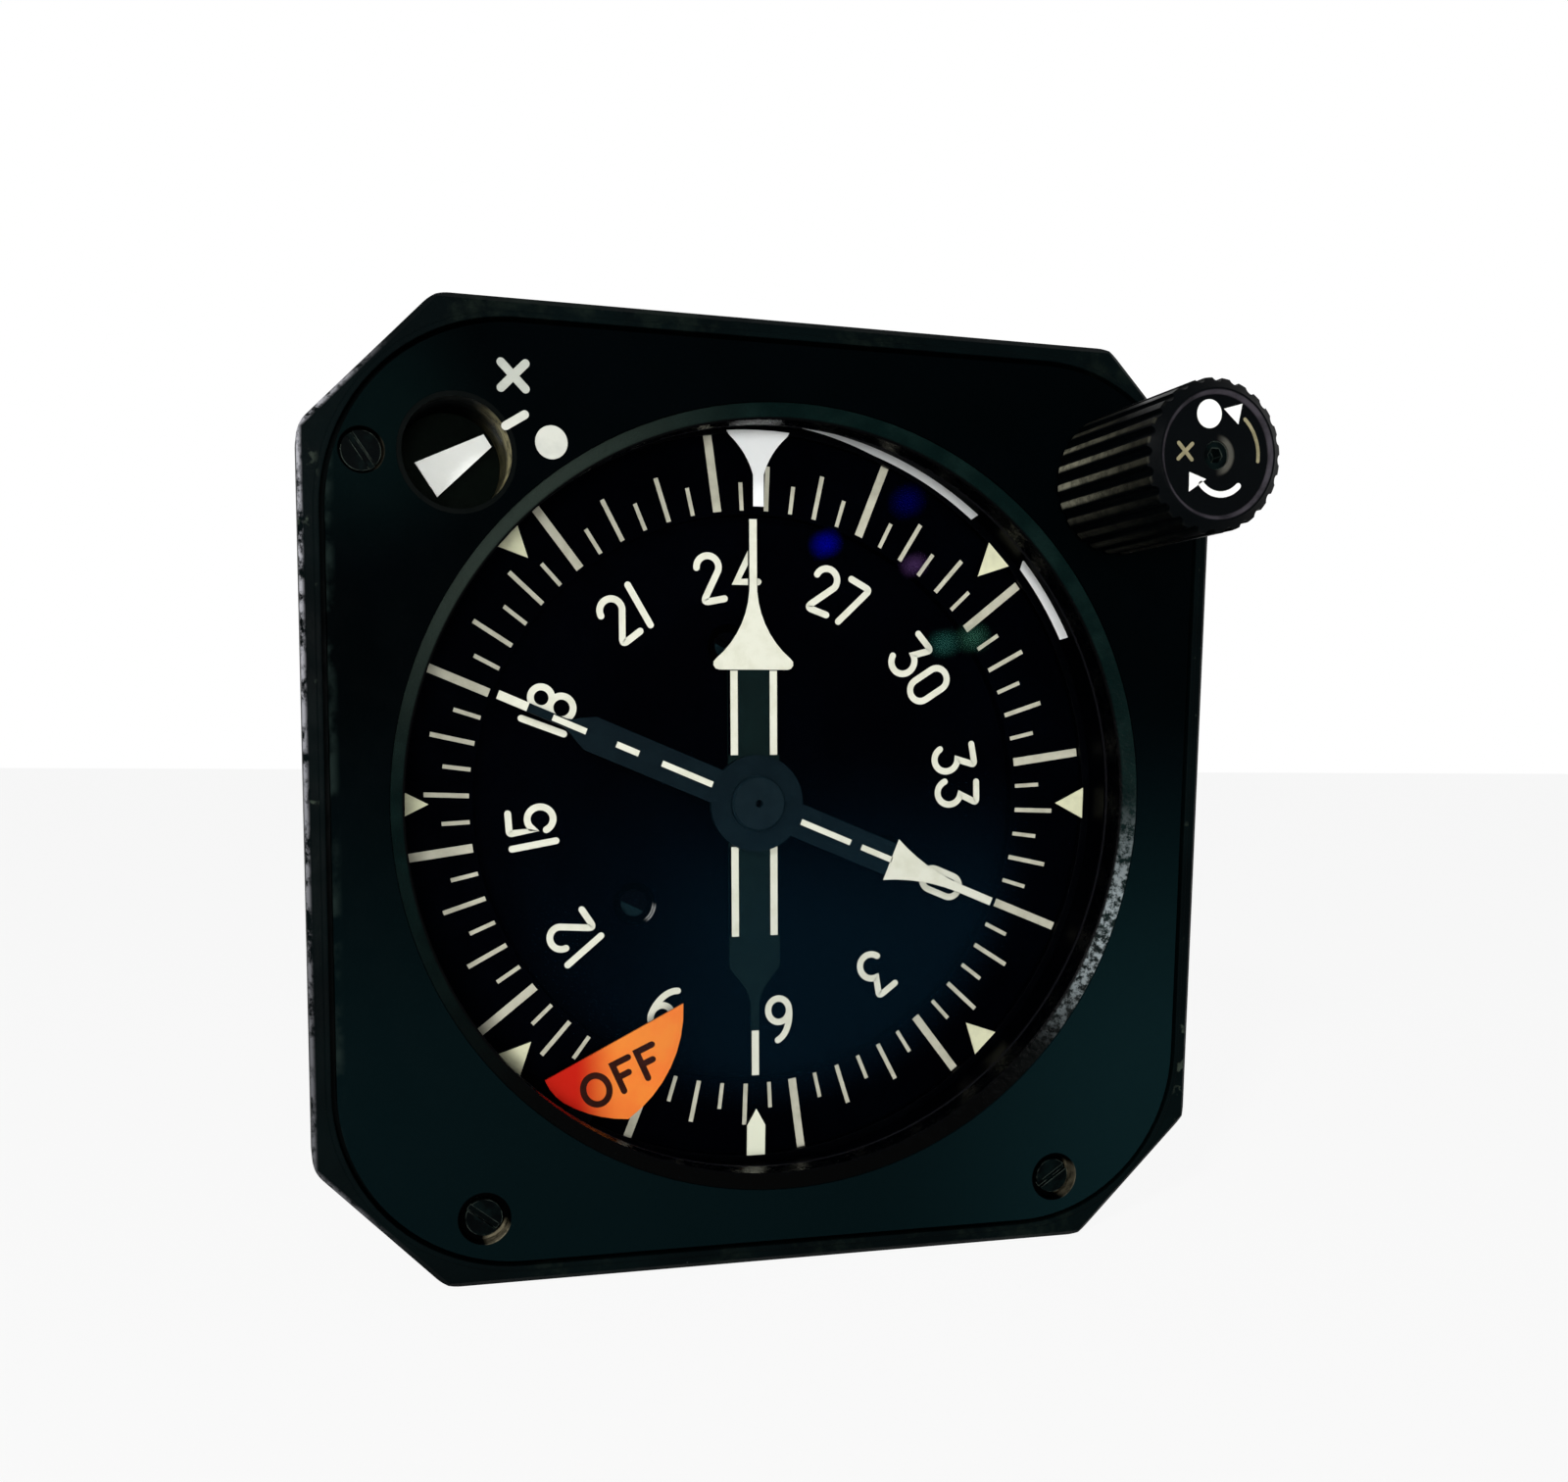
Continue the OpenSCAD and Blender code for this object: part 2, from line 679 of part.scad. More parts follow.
// Narrow pointer: a single bar with its cap
narrow_head_base = pointer_reach - 11.5;
narrow_neck = pointer_reach - 3.9;
narrow_head_half = 2.1;
narrow_waist = 0.4;
narrow_taper = 9 - pointer_reach;
narrow_tail_neck = 6.5 - pointer_reach;
narrow_tail_waist = [0.95, 7.7 - pointer_reach];
narrow_tail_bow = 0.08;
boss_gap = 0.1;
boss_back_d = wide_depth - wide_boss_t - boss_gap;
cap_t = 0.65;
cap_bevel = 0.2;
cap_hole_r = 0.36;
cap_hole_depth = 0.9;

module narrow_outline() {
    right = concat([[needle_half, -pointer_reach]],
        bow([needle_half, narrow_tail_neck], narrow_tail_waist, -narrow_tail_bow, 4),
        [[narrow_bar_w / 2, narrow_taper], [narrow_bar_w / 2, narrow_head_base]],
        bow([narrow_head_half, narrow_head_base], [needle_half, narrow_neck], -narrow_waist, 6),
        [[needle_half, pointer_reach]]);
    polygon(concat(right, mirrored(right)));
}

module narrow_pointer() color([0.5, 0.52, 0.54]) difference() {
    union() {
        slab(narrow_depth, narrow_depth + pointer_t) clock(narrow_heading) narrow_outline();
        rod(boss_r, narrow_depth, boss_back_d);
    }
    rod(narrow_shaft_r, 0, casting_d, fn = 48);
}

module pointer_cap() color([0.35, 0.38, 0.4]) difference() {
    back = narrow_depth;
    front = back - cap_t;
    turned([[0, front], [cap_r - cap_bevel, front], [cap_r, front + cap_bevel], [cap_r, back], [0, back]]);
    rod(cap_hole_r, front - cut, back + cut, fn = 24);
}

module narrow_shaft() color([0.8, 0.8, 0.8]) difference() {
    rod(narrow_shaft_r, narrow_depth, rear_plate_d + frame_t, fn = 48);
    rod(cap_hole_r, 0, narrow_depth + cap_hole_depth, fn = 24);
}

// Warning flag, with the heights of its three curved edges
flag_bows = [0.2, 0.42, 1.55];

module off_flag() color([1, 0.42, 0.08])
    slab(flag_d, flag_d + flag_t) polygon(concat(bow(flag_left, flag_heel, flag_bows[0], 3),
        bow(flag_heel, flag_low, flag_bows[1], 5), bow(flag_low, flag_tip, flag_bows[2])));

module flag_arm() color([0.12, 0.12, 0.13]) {
    back = flag_d + flag_t;
    along = (flag_foot - flag_at) / norm(flag_foot - flag_at);
    side = [along[1], -along[0]];
    slab(back, back + arm_t) {
        translate(flag_at) circle(arm_boss_r, $fn = 48);
        polygon([flag_at + arm_half[0] * side, flag_at - arm_half[0] * side,
            flag_foot - arm_half[1] * side, flag_foot + arm_half[1] * side]);
    }
    rod(flag_staff_r, back + arm_t, middle_d, flag_at, 32);
}

module flag_movement() color([0.7, 0.6, 0.4]) difference() {
    rod(flag_can_r, casting_d + frame_t, middle_d, flag_at);
    rod(flag_staff_r + running, casting_d, middle_d + cut, flag_at, 32);
}

// Synchronising knob
flute_r = 0.55 * PI * knob_r / flutes;
flute_out = 0.1;
knob_dish = 0.3;
knob_edge = 0.3;
knob_rim = 0.2;
knob_screw_r = 1.15;
knob_screw_t = 1.5;
knob_web_d = 2 - knob_reach;
hex_r = 0.65;

module sync_knob() color([0.07, 0.08, 0.09]) difference() {
    intersection() {
        slab(-knob_reach, -knob_base) translate(knob_at) difference() {
            circle(knob_r);
            for (i = [0 : flutes - 1])
                rotate(360 * i / flutes) translate([knob_r + flute_out, 0]) circle(flute_r, $fn = 24);
        }
        turned([[0, -knob_reach], [knob_face_r, -knob_reach], [knob_r + knob_edge, knob_bevel - knob_reach],
            [knob_r + knob_edge, -knob_base - knob_edge], [knob_r - knob_edge, -knob_base],
            [0, -knob_base]], knob_at);
    }
    turned([[0, -knob_reach - cut], [knob_face_r - knob_rim + cut, -knob_reach - cut],
        [knob_face_r - knob_rim - knob_dish, knob_dish - knob_reach],
        [0, knob_dish - knob_reach]], knob_at);
    rod(knob_screw_r, -knob_reach, knob_web_d, knob_at, 48);
    rod(knob_shaft_r, knob_web_d - cut, 0, knob_at, 48);
}

module knob_screw() color([0.2, 0.22, 0.23]) difference() {
    rod(knob_screw_r, knob_web_d - knob_screw_t, knob_web_d, knob_at, 48);
    rod(hex_r, -knob_reach, knob_web_d - knob_edge, knob_at, 6);
}

module knob_shaft() color([0.78, 0.78, 0.76])
    rod(knob_shaft_r, knob_web_d, middle_d + frame_t, knob_at, 48);

module knob_bush() color([0.7, 0.55, 0.3]) difference() {
    union() {
        rod(knob_bush_r, -plate_proud, casting_d, knob_at);
        rod(knob_bush_r + bush_lip, knob_edge - knob_base, -plate_proud, knob_at);
    }
    rod(knob_shaft_r + running, -knob_reach, casting_d + cut, knob_at, 48);
}

module knob_gear() color([0.8, 0.68, 0.35])
    geared_disc(knob_teeth, knob_shaft_r, wide_gear_d, sync_dir, knob_at);

// A round can behind the middle plate with a bore for its own shaft
module can(r, shaft_r, at) difference() {
    union() {
        rod(r, can_d, rear_plate_d, at);
        rod(r - can_step, rear_plate_d, rear_plate_d + frame_t, at);
    }
    rod(shaft_r + running, can_d - cut, rear_plate_d + frame_t + cut, at, 48);
}

// A thin shaft with its gear, carried by a can
module geared_rotor(teeth, front, phase, at) {
    geared_disc(teeth, motor_shaft_r, front, phase, at);
    rod(motor_shaft_r, front, rear_plate_d, at, 48);
}

module sync_transmitter() color([0.55, 0.56, 0.55]) can(sync_can_r, motor_shaft_r, sync_at);
module sync_rotor() color([0.8, 0.68, 0.35])
    geared_rotor(sync_teeth, wide_gear_d, sync_dir + 180 + 180 / sync_teeth, sync_at);

module card_motor() color([0.55, 0.56, 0.55]) can(can_r, motor_shaft_r, motor_at);
module motor_pinion() color([0.78, 0.78, 0.76])
    geared_rotor(motor_teeth, card_gear_d, motor_dir + 180 + 180 / motor_teeth, motor_at);

module wide_synchro() color([0.55, 0.56, 0.55]) can(can_r, motor_shaft_r, synchro_at);
module synchro_rotor() color([0.8, 0.68, 0.35])
    geared_rotor(wide_teeth, wide_gear_d, synchro_dir + 180 + 180 / wide_teeth, synchro_at);

module narrow_synchro() color([0.55, 0.56, 0.55]) can(can_r, narrow_shaft_r, [0, 0]);

// Chassis
post_places = [for (i = [0 : 3]) (case_w / 2 - post_in) * [cos(90 * i), sin(90 * i)]];
chassis_in = case_wall + 0.4;
module chassis_outline() octagon(case_w, case_cut, chassis_in);

module front_plate() color([0.62, 0.62, 0.6]) difference() {
    slab(casting_d, casting_d + frame_t) chassis_outline();
    rod(card_tube_r + bearing_wall, casting_d - cut, casting_d + frame_t + cut);
    rod(knob_shaft_r + running, casting_d - cut, casting_d + frame_t + cut, knob_at, 48);
    rod(flag_staff_r + running, casting_d - cut, casting_d + frame_t + cut, flag_at, 32);
}

module middle_plate() color([0.62, 0.62, 0.6]) difference() {
    slab(middle_d, middle_d + frame_t) chassis_outline();
    rod(wide_tube_r + running, middle_d - cut, middle_d + frame_t + cut);
    rod(knob_shaft_r + running, middle_d - cut, middle_d + frame_t + cut, knob_at, 48);
    for (at = [motor_at, synchro_at, sync_at])
        rod(motor_shaft_r + running, middle_d - cut, middle_d + frame_t + cut, at, 48);
}

module rear_plate() color([0.62, 0.62, 0.6]) difference() {
    slab(rear_plate_d, rear_plate_d + frame_t) chassis_outline();
    for (at = [[0, 0], motor_at, synchro_at])
        rod(can_r - can_step, rear_plate_d - cut, rear_plate_d + frame_t + cut, at);
    rod(sync_can_r - can_step, rear_plate_d - cut, rear_plate_d + frame_t + cut, sync_at);
}

module plate_posts() color([0.75, 0.75, 0.75])
    for (at = post_places) {
        rod(post_r, casting_d + frame_t, middle_d, at, 32);
        rod(post_r, can_d, rear_plate_d, at, 32);
        rod(post_r, rear_plate_d + frame_t, board_d, at, 32);
    }

// Blocks on the board, as shares of the case's width: place, size and height
board_blocks = [[[-0.19, 0.05], [0.21, 0.26], 0.105], [[0.16, -0.1], [0.16, 0.18], 0.08]];
board_cans = 4;
board_can_r = 3;
board_can_len = 5;
board_can_step = 10;
module amplifier_board() color([0.15, 0.4, 0.25]) {
    slab(board_d, board_d + board_t) octagon(case_w, case_cut + boss_len, chassis_in);
    for (b = board_blocks)
        slab(board_d - case_w * b[2], board_d) translate(case_w * b[0]) square(case_w * b[1], center = true);
    for (i = [0 : board_cans - 1])
        rod(board_can_r, board_d - board_can_len, board_d,
            [(i - (board_cans - 1) / 2) * board_can_step, case_w * 0.29], 48);
}

// Case
module case_shell() color([0.12, 0.13, 0.14]) difference() {
    union() {
        slab(rebate_d, cover_d) difference() {
            octagon(case_w, case_cut);
            octagon(case_w, case_cut, case_wall);
        }
        slab(cover_d - boss_len, cover_d) intersection() {
            octagon(case_w, case_cut, case_wall / 2);
            for (x = [-1, 1], y = [-1, 1]) translate([x, y] * corner_screw_at) circle(boss_case_r, $fn = 48);
        }
    }
    for (x = [-1, 1], y = [-1, 1])
        rod(corner_hole_r, cover_d - corner_hole_len, cover_d + cut, [x, y] * corner_screw_at, 32);
    case_screw_places() cylinder(r = case_screw_r, h = 2 * case_screw_len + slip, center = true, $fn = 32);
}

// Side screws that hold the case to the casting, two on each side
case_screw_r = 0.9;
case_screw_d = rebate_d + 3;
case_screw_in = 8;
case_screw_side = case_w / 2 - case_screw_in;
case_screw_gap = 0.58;
case_screw_len = case_w / 2 - annunciator_at[1] - window_r - sleeve_wall - case_screw_gap;
case_head_r = 1.7;
case_head_t = 0.8;
module case_screw_places()
    for (i = [0 : 3], x = [-1, 1])
        rotate([0, 90 * i, 0]) translate([x * case_screw_side, case_screw_d - flange_t, case_w / 2])
            children();

module case_screws() color([0.2, 0.2, 0.2])
    case_screw_places() {
        translate([0, 0, -case_screw_len]) cylinder(r = case_screw_r, h = case_screw_len, $fn = 32);
        difference() {
            cylinder(r = case_head_r, h = case_head_t, $fn = 48);
            translate([0, 0, case_head_t]) cube([slot_w, 3 * case_head_r, 2 * slot_depth], center = true);
        }
    }

corner_hole_r = 1.1;
cover_head_r = 1.9;
cover_head_t = 1.2;
shell_wall = 1.2;
shell_step = 0.9;
connector_hole_r = connector_r - shell_step;
module rear_cover() color([0.12, 0.13, 0.14]) difference() {
    slab(cover_d, connector_d) octagon(case_w, case_cut);
    for (x = [-1, 1]) rod(connector_hole_r, cover_d - cut, connector_d + cut, [x * connector_x, 0]);
    for (x = [-1, 1], y = [-1, 1])
        rod(corner_hole_r, cover_d - cut, connector_d + cut, [x, y] * corner_screw_at, 32);
}

module rear_cover_screws() color([0.3, 0.3, 0.3])
    for (x = [-1, 1], y = [-1, 1]) {
        at = [x, y] * corner_screw_at;
        head_end = connector_d + cover_head_t;
        rod(corner_hole_r, cover_d - corner_screw_len, connector_d, at, 32);
        difference() {
            rod(cover_head_r, connector_d, head_end, at, 48);
            slab(head_end - slot_depth, head_end + cut)
                translate(at) rotate(30) square([slot_w, 3 * cover_head_r], center = true);
        }
    }

// Rear connectors: flanged shells with keyways, a moulded insert and a ring of pins
insert_r = connector_r - shell_wall;
insert_sunk = 1;
rim_d = connector_d + connector_len;
insert_d = rim_d - socket_depth;
shell_flange_t = 2;
shell_flange_r = 3;
pin_r = 0.55;
pin_len = 4.5;
// Each ring of pins: its radius and its number of pins
pin_rings = [[0, 1], [3, 6], [6, 12]];
module connector_shells() color([0.6, 0.6, 0.57])
    for (x = [-1, 1]) difference() {
        union() {
            rod(connector_r, connector_d, rim_d, [x * connector_x, 0]);
            slab(connector_d, connector_d + shell_flange_t) translate([x * connector_x, 0])
                round_square(connector_flange, shell_flange_r);
            rod(connector_hole_r, cover_d, connector_d, [x * connector_x, 0]);
        }
        rod(insert_r, connector_d - insert_sunk, rim_d + cut, [x * connector_x, 0]);
        rod(insert_r - insert_sunk, cover_d - cut, connector_d, [x * connector_x, 0]);
    }

module connector_inserts() color([0.15, 0.15, 0.16])
    for (x = [-1, 1]) rod(insert_r, connector_d - insert_sunk, insert_d, [x * connector_x, 0]);

module connector_pins() color([0.85, 0.75, 0.4])
    for (x = [-1, 1], p = pin_rings, i = [0 : p[1] - 1])
        let (turn = 360 * i / p[1])
        rod(pin_r, insert_d, insert_d + pin_len,
            [x * connector_x, 0] + p[0] * [cos(turn), sin(turn)], 16);

front_casting();
face_plate();
face_plate_screws();
bezel_ring();
cover_glass();
glass_gasket();
well_ring();
index_ring();
index_marks();
annunciator_sleeve();
annunciator_glass();
annunciator_movement();
annunciator_needle();
compass_card();
card_screws();
card_shaft();
card_gear();
card_bearing();
wide_pointer();
wide_shaft();
wide_gear();
narrow_pointer();
pointer_cap();
narrow_shaft();
off_flag();
flag_arm();
flag_movement();
sync_knob();
knob_screw();
knob_shaft();
knob_bush();
knob_gear();
sync_transmitter();
sync_rotor();
card_motor();
motor_pinion();
wide_synchro();
synchro_rotor();
narrow_synchro();
front_plate();
middle_plate();
rear_plate();
plate_posts();
amplifier_board();
case_shell();
case_screws();
rear_cover();
rear_cover_screws();
connector_shells();
connector_inserts();
connector_pins();
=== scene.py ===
"""The looks of a square panel compass indicator: dial figures, pointer paint, flag, knob, case and stage."""
import math

import bmesh
import bpy
from mathutils import Matrix, Vector


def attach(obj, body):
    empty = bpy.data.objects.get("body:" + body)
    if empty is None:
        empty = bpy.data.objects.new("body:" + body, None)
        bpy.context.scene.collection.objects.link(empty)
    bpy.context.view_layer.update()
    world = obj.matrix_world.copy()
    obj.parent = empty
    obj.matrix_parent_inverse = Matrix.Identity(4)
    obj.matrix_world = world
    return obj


bl_info = {
    "name": "Compass Indicator Looks",
    "version": (1, 0, 0),
    "blender": (4, 5, 0),
    "location": "View3D > Sidebar > Compass",
    "description": "Paints the packed compass indicator and adds its figures, marks, threads and stage",
    "category": "Object",
}

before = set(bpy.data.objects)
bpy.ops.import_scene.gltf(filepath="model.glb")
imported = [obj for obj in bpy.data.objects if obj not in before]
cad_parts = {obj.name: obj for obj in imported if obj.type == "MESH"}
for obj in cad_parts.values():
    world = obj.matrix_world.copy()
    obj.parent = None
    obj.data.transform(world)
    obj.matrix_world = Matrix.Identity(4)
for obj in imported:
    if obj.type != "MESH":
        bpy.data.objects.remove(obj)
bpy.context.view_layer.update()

MM = 0.001
FLANGE_T = 4.0
FLANGE_HALF = 41.275
FLANGE_CUT = 11.0
WINDOW_AT = (-28.67, 28.67)
KNOB_AT = (30.875, 29.125)
CARD_SCREWS = [(-11.381, -9.382), (-2.434, 14.548), (13.816, -5.166)]
CARD_SLOT = 115.5
# Face plate screws: x, z, recess radius, and the clock span and strength of the painted lit crescent on each
# recess wall
PLATE_SCREWS = [(-36.275, 28.475, 1.8, 60, 140, 0.1),
                (-27.075, -35.175, 2.25, 112, 172, 1.0), (27.075, -35.175, 2.25, 62, 150, 0.5)]
# Coloured painted reflections in the cover glass: x, z, reach in millimetres, and colour
PAINTED_REFLECTIONS = [(4.7, 23.4, 1.5, (0.0, 0.0, 0.4)), (13.3, 21.9, 1.3, (0.1, 0.045, 0.16)),
                 (16.5, 14.9, 1.6, (0.02, 0.11, 0.09)), (19.4, 15.5, 1.7, (0.03, 0.12, 0.08)),
                 (12.5, 27.5, 1.8, (0.0, 0.0, 0.1))]


# Places and outlines, in millimetres: x to the right, z up, depth behind the flange's front face


def place(x, z, depth):
    """A point on the part, in metres."""
    return Vector((x * MM, (depth - FLANGE_T) * MM, z * MM))


def turned(point, heading):
    """A flat point turned clockwise by heading degrees, as seen from the front."""
    a = math.radians(heading)
    x, z = point
    return (x * math.cos(a) + z * math.sin(a), z * math.cos(a) - x * math.sin(a))


def moved(points, offset=(0.0, 0.0), heading=0.0):
    """Flat points turned clockwise and then shifted."""
    found = []
    for point in points:
        x, z = turned(point, heading)
        found.append((x + offset[0], z + offset[1]))
    return found


def arc(cx, cz, rx, rz, start, end, steps=14):
    """Points on an ellipse from start to end degrees, anticlockwise where end is larger."""
    found = []
    for i in range(steps + 1):
        a = math.radians(start + (end - start) * i / steps)
        found.append((cx + rx * math.cos(a), cz + rz * math.sin(a)))
    return found


def bow(a, b, height, steps=8):
    """Points on an arc from a to b that bows out to the right of the way by height."""
    chord = math.dist(a, b)
    radius = (chord * chord / 4 + height * height) / (2 * abs(height))
    along = ((b[0] - a[0]) / chord, (b[1] - a[1]) / chord)
    side = math.copysign(1.0, height)
    right = (along[1] * side, -along[0] * side)
    push = abs(height) - radius
    middle = ((a[0] + b[0]) / 2 + right[0] * push, (a[1] + b[1]) / 2 + right[1] * push)
    sweep = math.asin(min(1.0, chord / 2 / radius))
    found = []
    for i in range(steps + 1):
        t = sweep * (2 * i / steps - 1)
        c, s = math.cos(t) * radius, math.sin(t) * radius
        found.append((middle[0] + right[0] * c + along[0] * s, middle[1] + right[1] * c + along[1] * s))
    return found


def eased(points, radius):
    """An open line with its corners rounded."""
    found = [points[0]]
    for before, corner, after in zip(points, points[1:], points[2:]):
        a = Vector(before) - Vector(corner)
        b = Vector(after) - Vector(corner)
        angle = a.angle(b, math.pi)
        if angle > math.radians(150):
            found.append(corner)
            continue
        reach = min(radius / math.tan(angle / 2), a.length * 0.45, b.length * 0.45)
        start = Vector(corner) + a.normalized() * reach
        end = Vector(corner) + b.normalized() * reach
        for i in range(7):
            t = i / 6
            p = start.lerp(Vector(corner), t).lerp(Vector(corner).lerp(end, t), t)
            found.append((p.x, p.y))
    found.append(points[-1])
    return found


def stroke(points, width, closed=False):
    """The two edges of a painted line as pairs of points, with round ends unless closed."""
    half = width / 2
    count = len(points)
    pairs = []
    for i, point in enumerate(points):
        here = Vector(point)
        before = Vector(points[i - 1]) if i or closed else None
        after = Vector(points[(i + 1) % count]) if i < count - 1 or closed else None
        if before is None:
            along = (after - here).normalized()
            reach = 1.0
        elif after is None:
            along = (here - before).normalized()
            reach = 1.0
        else:
            a, b = (here - before).normalized(), (after - here).normalized()
            along = (a + b).normalized()
            reach = 1 / max(0.6, along.dot(a))
        left = Vector((-along.y, along.x)) * half * reach
        pairs.append((here + left, here - left))
    if closed:
        return pairs
    first, last = Vector(points[0]), Vector(points[-1])
    out_a = (first - Vector(points[1])).normalized()
    out_b = (last - Vector(points[-2])).normalized()
    caps = []
    for end, out, turn in ((first, out_a, -1.0), (last, out_b, 1.0)):
        side = Vector((-out.y, out.x)) * turn
        cap = []
        for angle in (25, 50, 70, 86):
            a = math.radians(angle)
            tip = end + out * half * math.sin(a)
            cap.append((tip + side * half * math.cos(a), tip - side * half * math.cos(a)))
        caps.append(cap)
    return caps[0][::-1] + pairs + caps[1]


# Mesh pieces


def finish_piece(name, mesh_data, material, body):
    """Makes an object of a bmesh, gives it its material and lets it ride on a body."""
    bmesh.ops.recalc_face_normals(mesh_data, faces=mesh_data.faces)
    mesh = bpy.data.meshes.new(name)
    mesh_data.to_mesh(mesh)
    mesh_data.free()
    mesh.materials.append(material)
    piece = bpy.data.objects.new(name, mesh)
    bpy.context.scene.collection.objects.link(piece)
    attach(piece, body)


def add_ribbon(mesh_data, pairs, front, back, closed=False):
    """Adds a flat line of even thickness from the pairs of its edge points."""
    rows = []
    for left, right in pairs:
        corners = [(left, front), (right, front), (right, back), (left, back)]
        rows.append([mesh_data.verts.new(place(p[0], p[1], d)) for p, d in corners])
    count = len(rows)
    for i in range(count if closed else count - 1):
        a, b = rows[i], rows[(i + 1) % count]
        for k in range(4):
            mesh_data.faces.new((a[k], a[(k + 1) % 4], b[(k + 1) % 4], b[k]))
    if not closed:
        mesh_data.faces.new(rows[0])
        mesh_data.faces.new(rows[-1][::-1])


def add_plate(mesh_data, outline, front, back):
    """Adds a flat plate of even thickness from its outline."""
    fronts = [mesh_data.verts.new(place(x, z, front)) for x, z in outline]
    backs = [mesh_data.verts.new(place(x, z, back)) for x, z in outline]
    mesh_data.faces.new(fronts)
    mesh_data.faces.new(backs[::-1])
    count = len(outline)
    for i in range(count):
        j = (i + 1) % count
        mesh_data.faces.new((fronts[i], backs[i], backs[j], fronts[j]))


# Engraved figures: centre lines in a box of the given half width and half height


def figure_lines(figure, w, h):
    """The centre lines of one figure, each with True where it is a closed loop."""
    if figure == "0":
        return [(arc(0, h - w, w, w, 0, 180) + arc(0, w - h, w, w, 180, 360), True)]
    if figure == "1":
        return [([(0, -h), (0, h)], False)]
    if figure == "2":
        loop = arc(0, 0.5 * h, w, 0.5 * h, 172, -28, 22)
        return [(eased(loop + [(-0.98 * w, -h), (w, -h)], 0.3), False)]
    if figure == "3":
        bowl = arc(-0.1 * w, -0.41 * h, 1.1 * w, 0.59 * h, 78, -158, 26)
        return [(eased([(-w, h), (w, h), (0.02 * w, 0.2 * h)], 0.3)[:-1] + bowl, False)]
    if figure == "4":
        stem = [(0.4 * w, -h), (0.4 * w, h)]
        return [(stem, False), ([(0.35 * w, h), (-w, -0.3 * h), (w, -0.3 * h)], False)]
    if figure == "5":
        bowl = arc(0.05 * w, -0.42 * h, 1.05 * w, 0.58 * h, 147, -156, 26)
        return [(eased([(0.72 * w, h), (-w, h), (-0.99 * w, -0.1 * h)], 0.25)[:-1] + bowl, False)]
    if figure == "6":
        tail = arc(0.85 * w, -0.44 * h, 1.85 * w, 1.44 * h, 180, 103, 14)
        return [(arc(0, -0.44 * h, w, 0.56 * h, 0, 360, 32)[:-1], True), (tail, False)]
    if figure == "7":
        return [(eased([(-w, h), (w, h), (-0.35 * w, -h)], 0.3), False)]
    if figure == "8":
        upper = arc(0, 0.52 * h, 0.92 * w, 0.48 * h, 0, 360, 28)[:-1]
        lower = arc(0, -0.48 * h, w, 0.52 * h, 0, 360, 28)[:-1]
        return [(upper, True), (lower, True)]
    if figure == "9":
        lines = figure_lines("6", w, h)
        return [([(-x, -z) for x, z in points], closed) for points, closed in lines]
    raise ValueError(f"no figure is drawn for {figure!r}")


def add_lines(mesh_data, lines, width, front, thickness, offset=(0.0, 0.0), heading=0.0):
    """Adds painted lines, each a hair higher than the one before so that no two faces lie in one plane."""
    for i, (points, closed) in enumerate(lines):
        points = moved(points, offset, heading)
        lift = 0.004 * (i % 3)
        add_ribbon(mesh_data, stroke(points, width, closed), front - thickness - lift, front, closed)


# Materials


